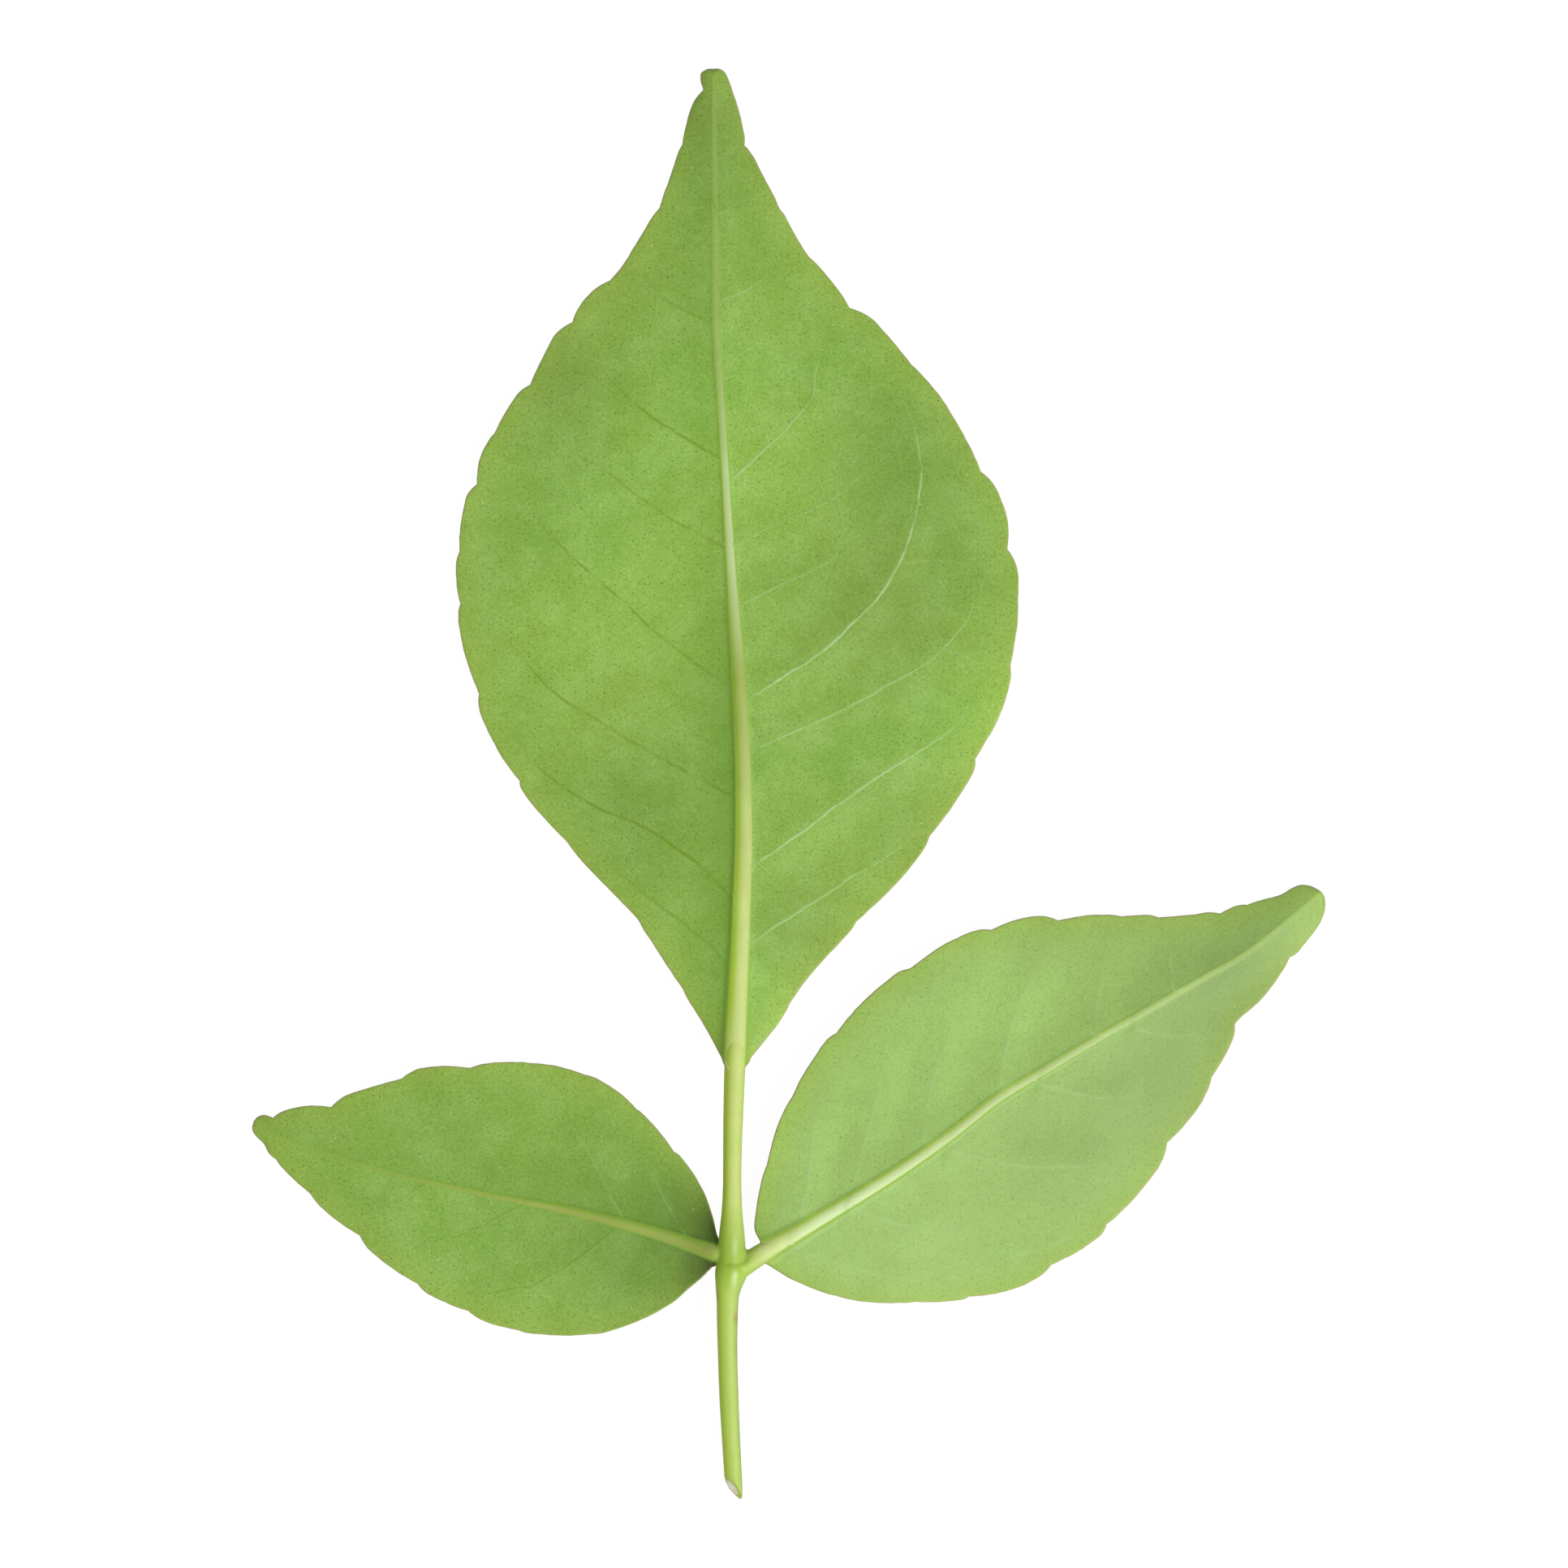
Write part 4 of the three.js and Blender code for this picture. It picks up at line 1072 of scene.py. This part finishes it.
    # The midrib: a crest from dull to pale, milky in places, with lime on its shaded half, and flanks
    # lime on the shaded side, paler under a painted sheen; the lime is painted shade
    crest = look["crest_dull"]
    layers = (
        (MIX, "crest_tone", look["crest_pale"]), (MIX, "milk", look["crest_milk"]),
        (TINT, "lime", CREST_TINT),
    )
    for kind, key, tint in layers:
        crest = node(tree, "Mix", kind, {0: field[key], 6: crest, 7: tint}, 2)
    lime, vein = (
        node(tree, "Mix", MIX, {0: field[key], 6: look[one], 7: look[other]}, 2)
        for key, one, other in (
            ("painted_sheen", "flank_lime", "flank_painted_sheen"), ("vein_highlight_share", "vein_dark", "vein_highlight"),
        )
    )
    flank = node(tree, "Mix", MIX, {0: field["flank_lime"], 6: look["flank"], 7: lime}, 2)

    # Small veins, dark pinprick glands, a few pale specks, side veins, dark or with a painted highlight,
    # a painted shadow beside the midrib, the midrib, and the very edge: dry, thin and a little brown
    layers = (
        (share["veinlet_colour"], look["vein_dark"]), (gland, look["gland"]),
        (share["speck"], SPECK), (share["vein"], vein), (field["rib_shadow"], look["rib_shadow"]),
        (share["rib"], flank), (share["crest"], crest), (share["rim"], look["rim"]),
    )
    for amount, tint in layers:
        skin = node(tree, "Mix", MIX, {0: amount, 6: skin, 7: tint}, 2)

    height = node(tree, "Math", MULTIPLY, {0: grain, 1: 0.35})
    for pattern, rise in ((gland, -look["gland_depth"]), (share["veinlet"], 0.15)):
        height = node(tree, "Math", MULTIPLY_ADD, {0: pattern, 1: rise, 2: height})
    bump = node(tree, "Bump", {}, {"Strength": 0.5, "Distance": BLADE_RELIEF * MM, "Height": height})
    waxy = node(tree, "BsdfPrincipled", {}, {
        "Base Color": skin, "Roughness": share["roughness"], "IOR": 1.45,
        "Specular IOR Level": 0.35, "Normal": bump,
    })
    glow = node(tree, "Mix", MIX, {0: 0.5, 6: skin, 7: look["through"]}, 2)
    glow = node(tree, "BsdfTranslucent", {}, {"Color": glow})
    both = node(tree, "MixShader", {}, {0: THROUGH, 1: waxy, 2: glow})
    node(tree, "OutputMaterial", {}, {"Surface": both})
    return material


def rind_material():
    """Green stalk rind, grown in long smooth cells: darker lime flanks and a pale crest, painted as
    shade and light, faint streaks along its length, and a waxy shine."""
    material, tree = new_material("green_stalk_rind")
    place = node(tree, "TexCoord", {}, {}, "Object")
    names = (
        "facing_up", "facing_left", "upper", "joint", "crease", "scar", "painted_highlight", "paler", "duller_and_shaded",
    )
    field = {key: node(tree, "Attribute", {"attribute_name": key}, {}, "Fac") for key in names}
    lengthways = node(tree, "Mapping", {}, {"Vector": place, "Scale": (1, RIND_STRETCH, 1)})
    streak, cloud = (
        node(tree, "TexNoise", {}, {"Vector": at, "Scale": per_metre(size), "Detail": detail})
        for at, size, detail in ((lengthways, RIND_STREAK, 3), (place, RIND_CLOUD, 4))
    )
    spans = (
        (SMOOTH, field["facing_up"], 0.3, 0.9, 0, 1),
        (SMOOTH, field["facing_left"], -0.1, 0.85, 0, 1),
        ({}, cloud, 0.35, 0.7, 0, 0.3), ({}, streak, 0.3, 0.75, 0, 0.25),
        (SMOOTH, streak, 0.3, 0.6, 0.5, 1.1), ({}, field["joint"], 0, 1, 0.55, 0.33),
    )
    rise, left, clouded, streaked, cork, rough = (
        node(tree, "MapRange", kind, dict(enumerate(values))) for kind, *values in spans
    )
    products = (
        ("joint", 0.85), ("paler", rise), ("duller_and_shaded", rise), ("painted_highlight", rise), ("crease", 0.5),
        ("scar", cork),
    )
    joint, paler, duller_and_shaded, painted_highlight, crease, scar = (
        node(tree, "Math", MULTIPLY, {0: field[key], 1: factor}) for key, factor in products
    )

    # Painted light and shade by the way the rind faces: paler on top, where the light falls, and darker
    # and limier to the left and below, in painted shade. Lime all over near the joint. The side
    # leaflets' stalks take on the tone of the midribs that they run into, the left one's also darker as
    # painted shade, two whitish painted highlights lie on the joint, its crease is olive, and its scars
    # are brown and corky.
    crest = node(tree, "Mix", MIX, {0: field["upper"], 6: "#97ab54", 7: "#adb86c"}, 2)
    skin = node(tree, "Mix", MIX, {0: field["upper"], 6: "#778943", 7: "#96a85a"}, 2)
    layers = (
        (rise, crest), (left, "#98ae24"), (joint, "#7f9f24"), (clouded, "#8ca83c"),
        (streaked, "#a0b45e"), (paler, "#a9b672"), (duller_and_shaded, "#879245"), (painted_highlight, "#b9cba0"),
        (crease, "#6f7f22"), (scar, "#8a5f44"),
    )
    for share, tint in layers:
        skin = node(tree, "Mix", MIX, {0: share, 6: skin, 7: tint}, 2)

    bump = node(tree, "Bump", {}, {"Strength": 0.35, "Distance": RIND_RELIEF * MM, "Height": streak})
    shader = node(tree, "BsdfPrincipled", {}, {
        "Base Color": skin, "Roughness": rough, "IOR": 1.45, "Specular IOR Level": 0.25,
        "Normal": bump,
    })
    node(tree, "OutputMaterial", {}, {"Surface": shader})
    return material


def pith_material():
    """Cut end of the stalk: moist whitish pith that browns in patches, in a ring of green rind."""
    material, tree = new_material("cut_stalk_pith")
    place = node(tree, "TexCoord", {}, {}, "Object")
    core = node(tree, "Attribute", {"attribute_name": "core"}, {}, "Fac")
    patch = node(tree, "TexNoise", {}, {
        "Vector": place, "Scale": per_metre(PITH_PATCH), "Detail": 4,
    })
    skin = node(tree, "Mix", MIX, {0: patch, 6: "#dfe3cf", 7: "#b59a80"}, 2)
    skin = node(tree, "Mix", MIX, {0: core, 6: "#93a845", 7: skin}, 2)
    bump = node(tree, "Bump", {}, {"Strength": 0.6, "Distance": PITH_RELIEF * MM, "Height": patch})
    shader = node(tree, "BsdfPrincipled", {}, {"Base Color": skin, "Roughness": 0.7, "Normal": bump})
    node(tree, "OutputMaterial", {}, {"Surface": shader})
    return material


def floor_material():
    """Opal light-table sheet: matt white plastic, lit softly from below, so shadows stay faint."""
    material, tree = new_material("opal_sheet")
    shader = node(tree, "BsdfPrincipled", {}, {
        "Base Color": "#4d4d4d", "Roughness": 0.8, "Specular IOR Level": 0.1,
        "Emission Color": (1, 1, 1, 1), "Emission Strength": 0.95,
    })
    node(tree, "OutputMaterial", {}, {"Surface": shader})
    return material


# ---------------------------------------------------------------- the leaf

BLADE_SEED = 3.5
blade_materials = [blade_material(name, look) for name, look in BLADE_LOOKS.items()]
stalk_materials = [rind_material(), pith_material()]
for number, leaflet in enumerate(LEAFLETS):
    make_blade(leaflet, number + BLADE_SEED, blade_materials)
make_stalks(stalk_materials)


# ---------------------------------------------------------------- studio

VIEW_WIDTH = 114.49
VIEW_CENTRE = (-0.33, -0.03)
LENS = 400
SENSOR = 36
FLOOR_SIZE = 1200
FLOOR_DROP = 0.05
LAMP_SIZE = 240
LAMP_DISTANCE = 500
LAMP_TURN = -38         # degrees from the right
LAMP_RISE = 47          # and above the sheet
LAMP_POWER = 2.5
SURROUND = 0.68         # brightness of the white room


def make_studio():
    """A pale sheet under the leaf, a camera straight above it, and one broad soft light from the
    lower right in an even white surround."""
    mesh = bpy.data.meshes.new("sheet")
    half = FLOOR_SIZE / 2 * MM
    corners = [(-half, -half), (half, -half), (half, half), (-half, half)]
    mesh.from_pydata([(x, y, -FLOOR_DROP * MM) for x, y in corners], [], [(0, 1, 2, 3)])
    mesh.materials.append(floor_material())
    sheet = add_object("sheet", mesh)

    lens = bpy.data.cameras.new("camera")
    lens.lens = LENS
    lens.sensor_width = SENSOR
    camera = add_object("camera", lens)
    height = VIEW_WIDTH * LENS / SENSOR
    camera.location = (VIEW_CENTRE[0] * MM, VIEW_CENTRE[1] * MM, height * MM)
    bpy.context.scene.camera = camera

    softbox = bpy.data.lights.new("softbox", "AREA")
    softbox.shape = "DISK"
    softbox.size = LAMP_SIZE * MM
    softbox.energy = LAMP_POWER
    lamp = add_object("softbox", softbox)
    turn, rise = math.radians(LAMP_TURN), math.radians(LAMP_RISE)
    level = math.cos(rise)
    toward = Vector((level * math.cos(turn), level * math.sin(turn), math.sin(rise)))
    lamp.location = toward * (LAMP_DISTANCE * MM)
    lamp.rotation_euler = toward.to_track_quat("Z", "Y").to_euler()

    world = bpy.data.worlds.new("surround")
    world.use_nodes = True
    background = world.node_tree.nodes["Background"]
    background.inputs["Color"].default_value = (1, 1, 1, 1)
    background.inputs["Strength"].default_value = SURROUND
    bpy.context.scene.world = world
    bpy.context.scene.view_settings.view_transform = "Standard"


make_studio()
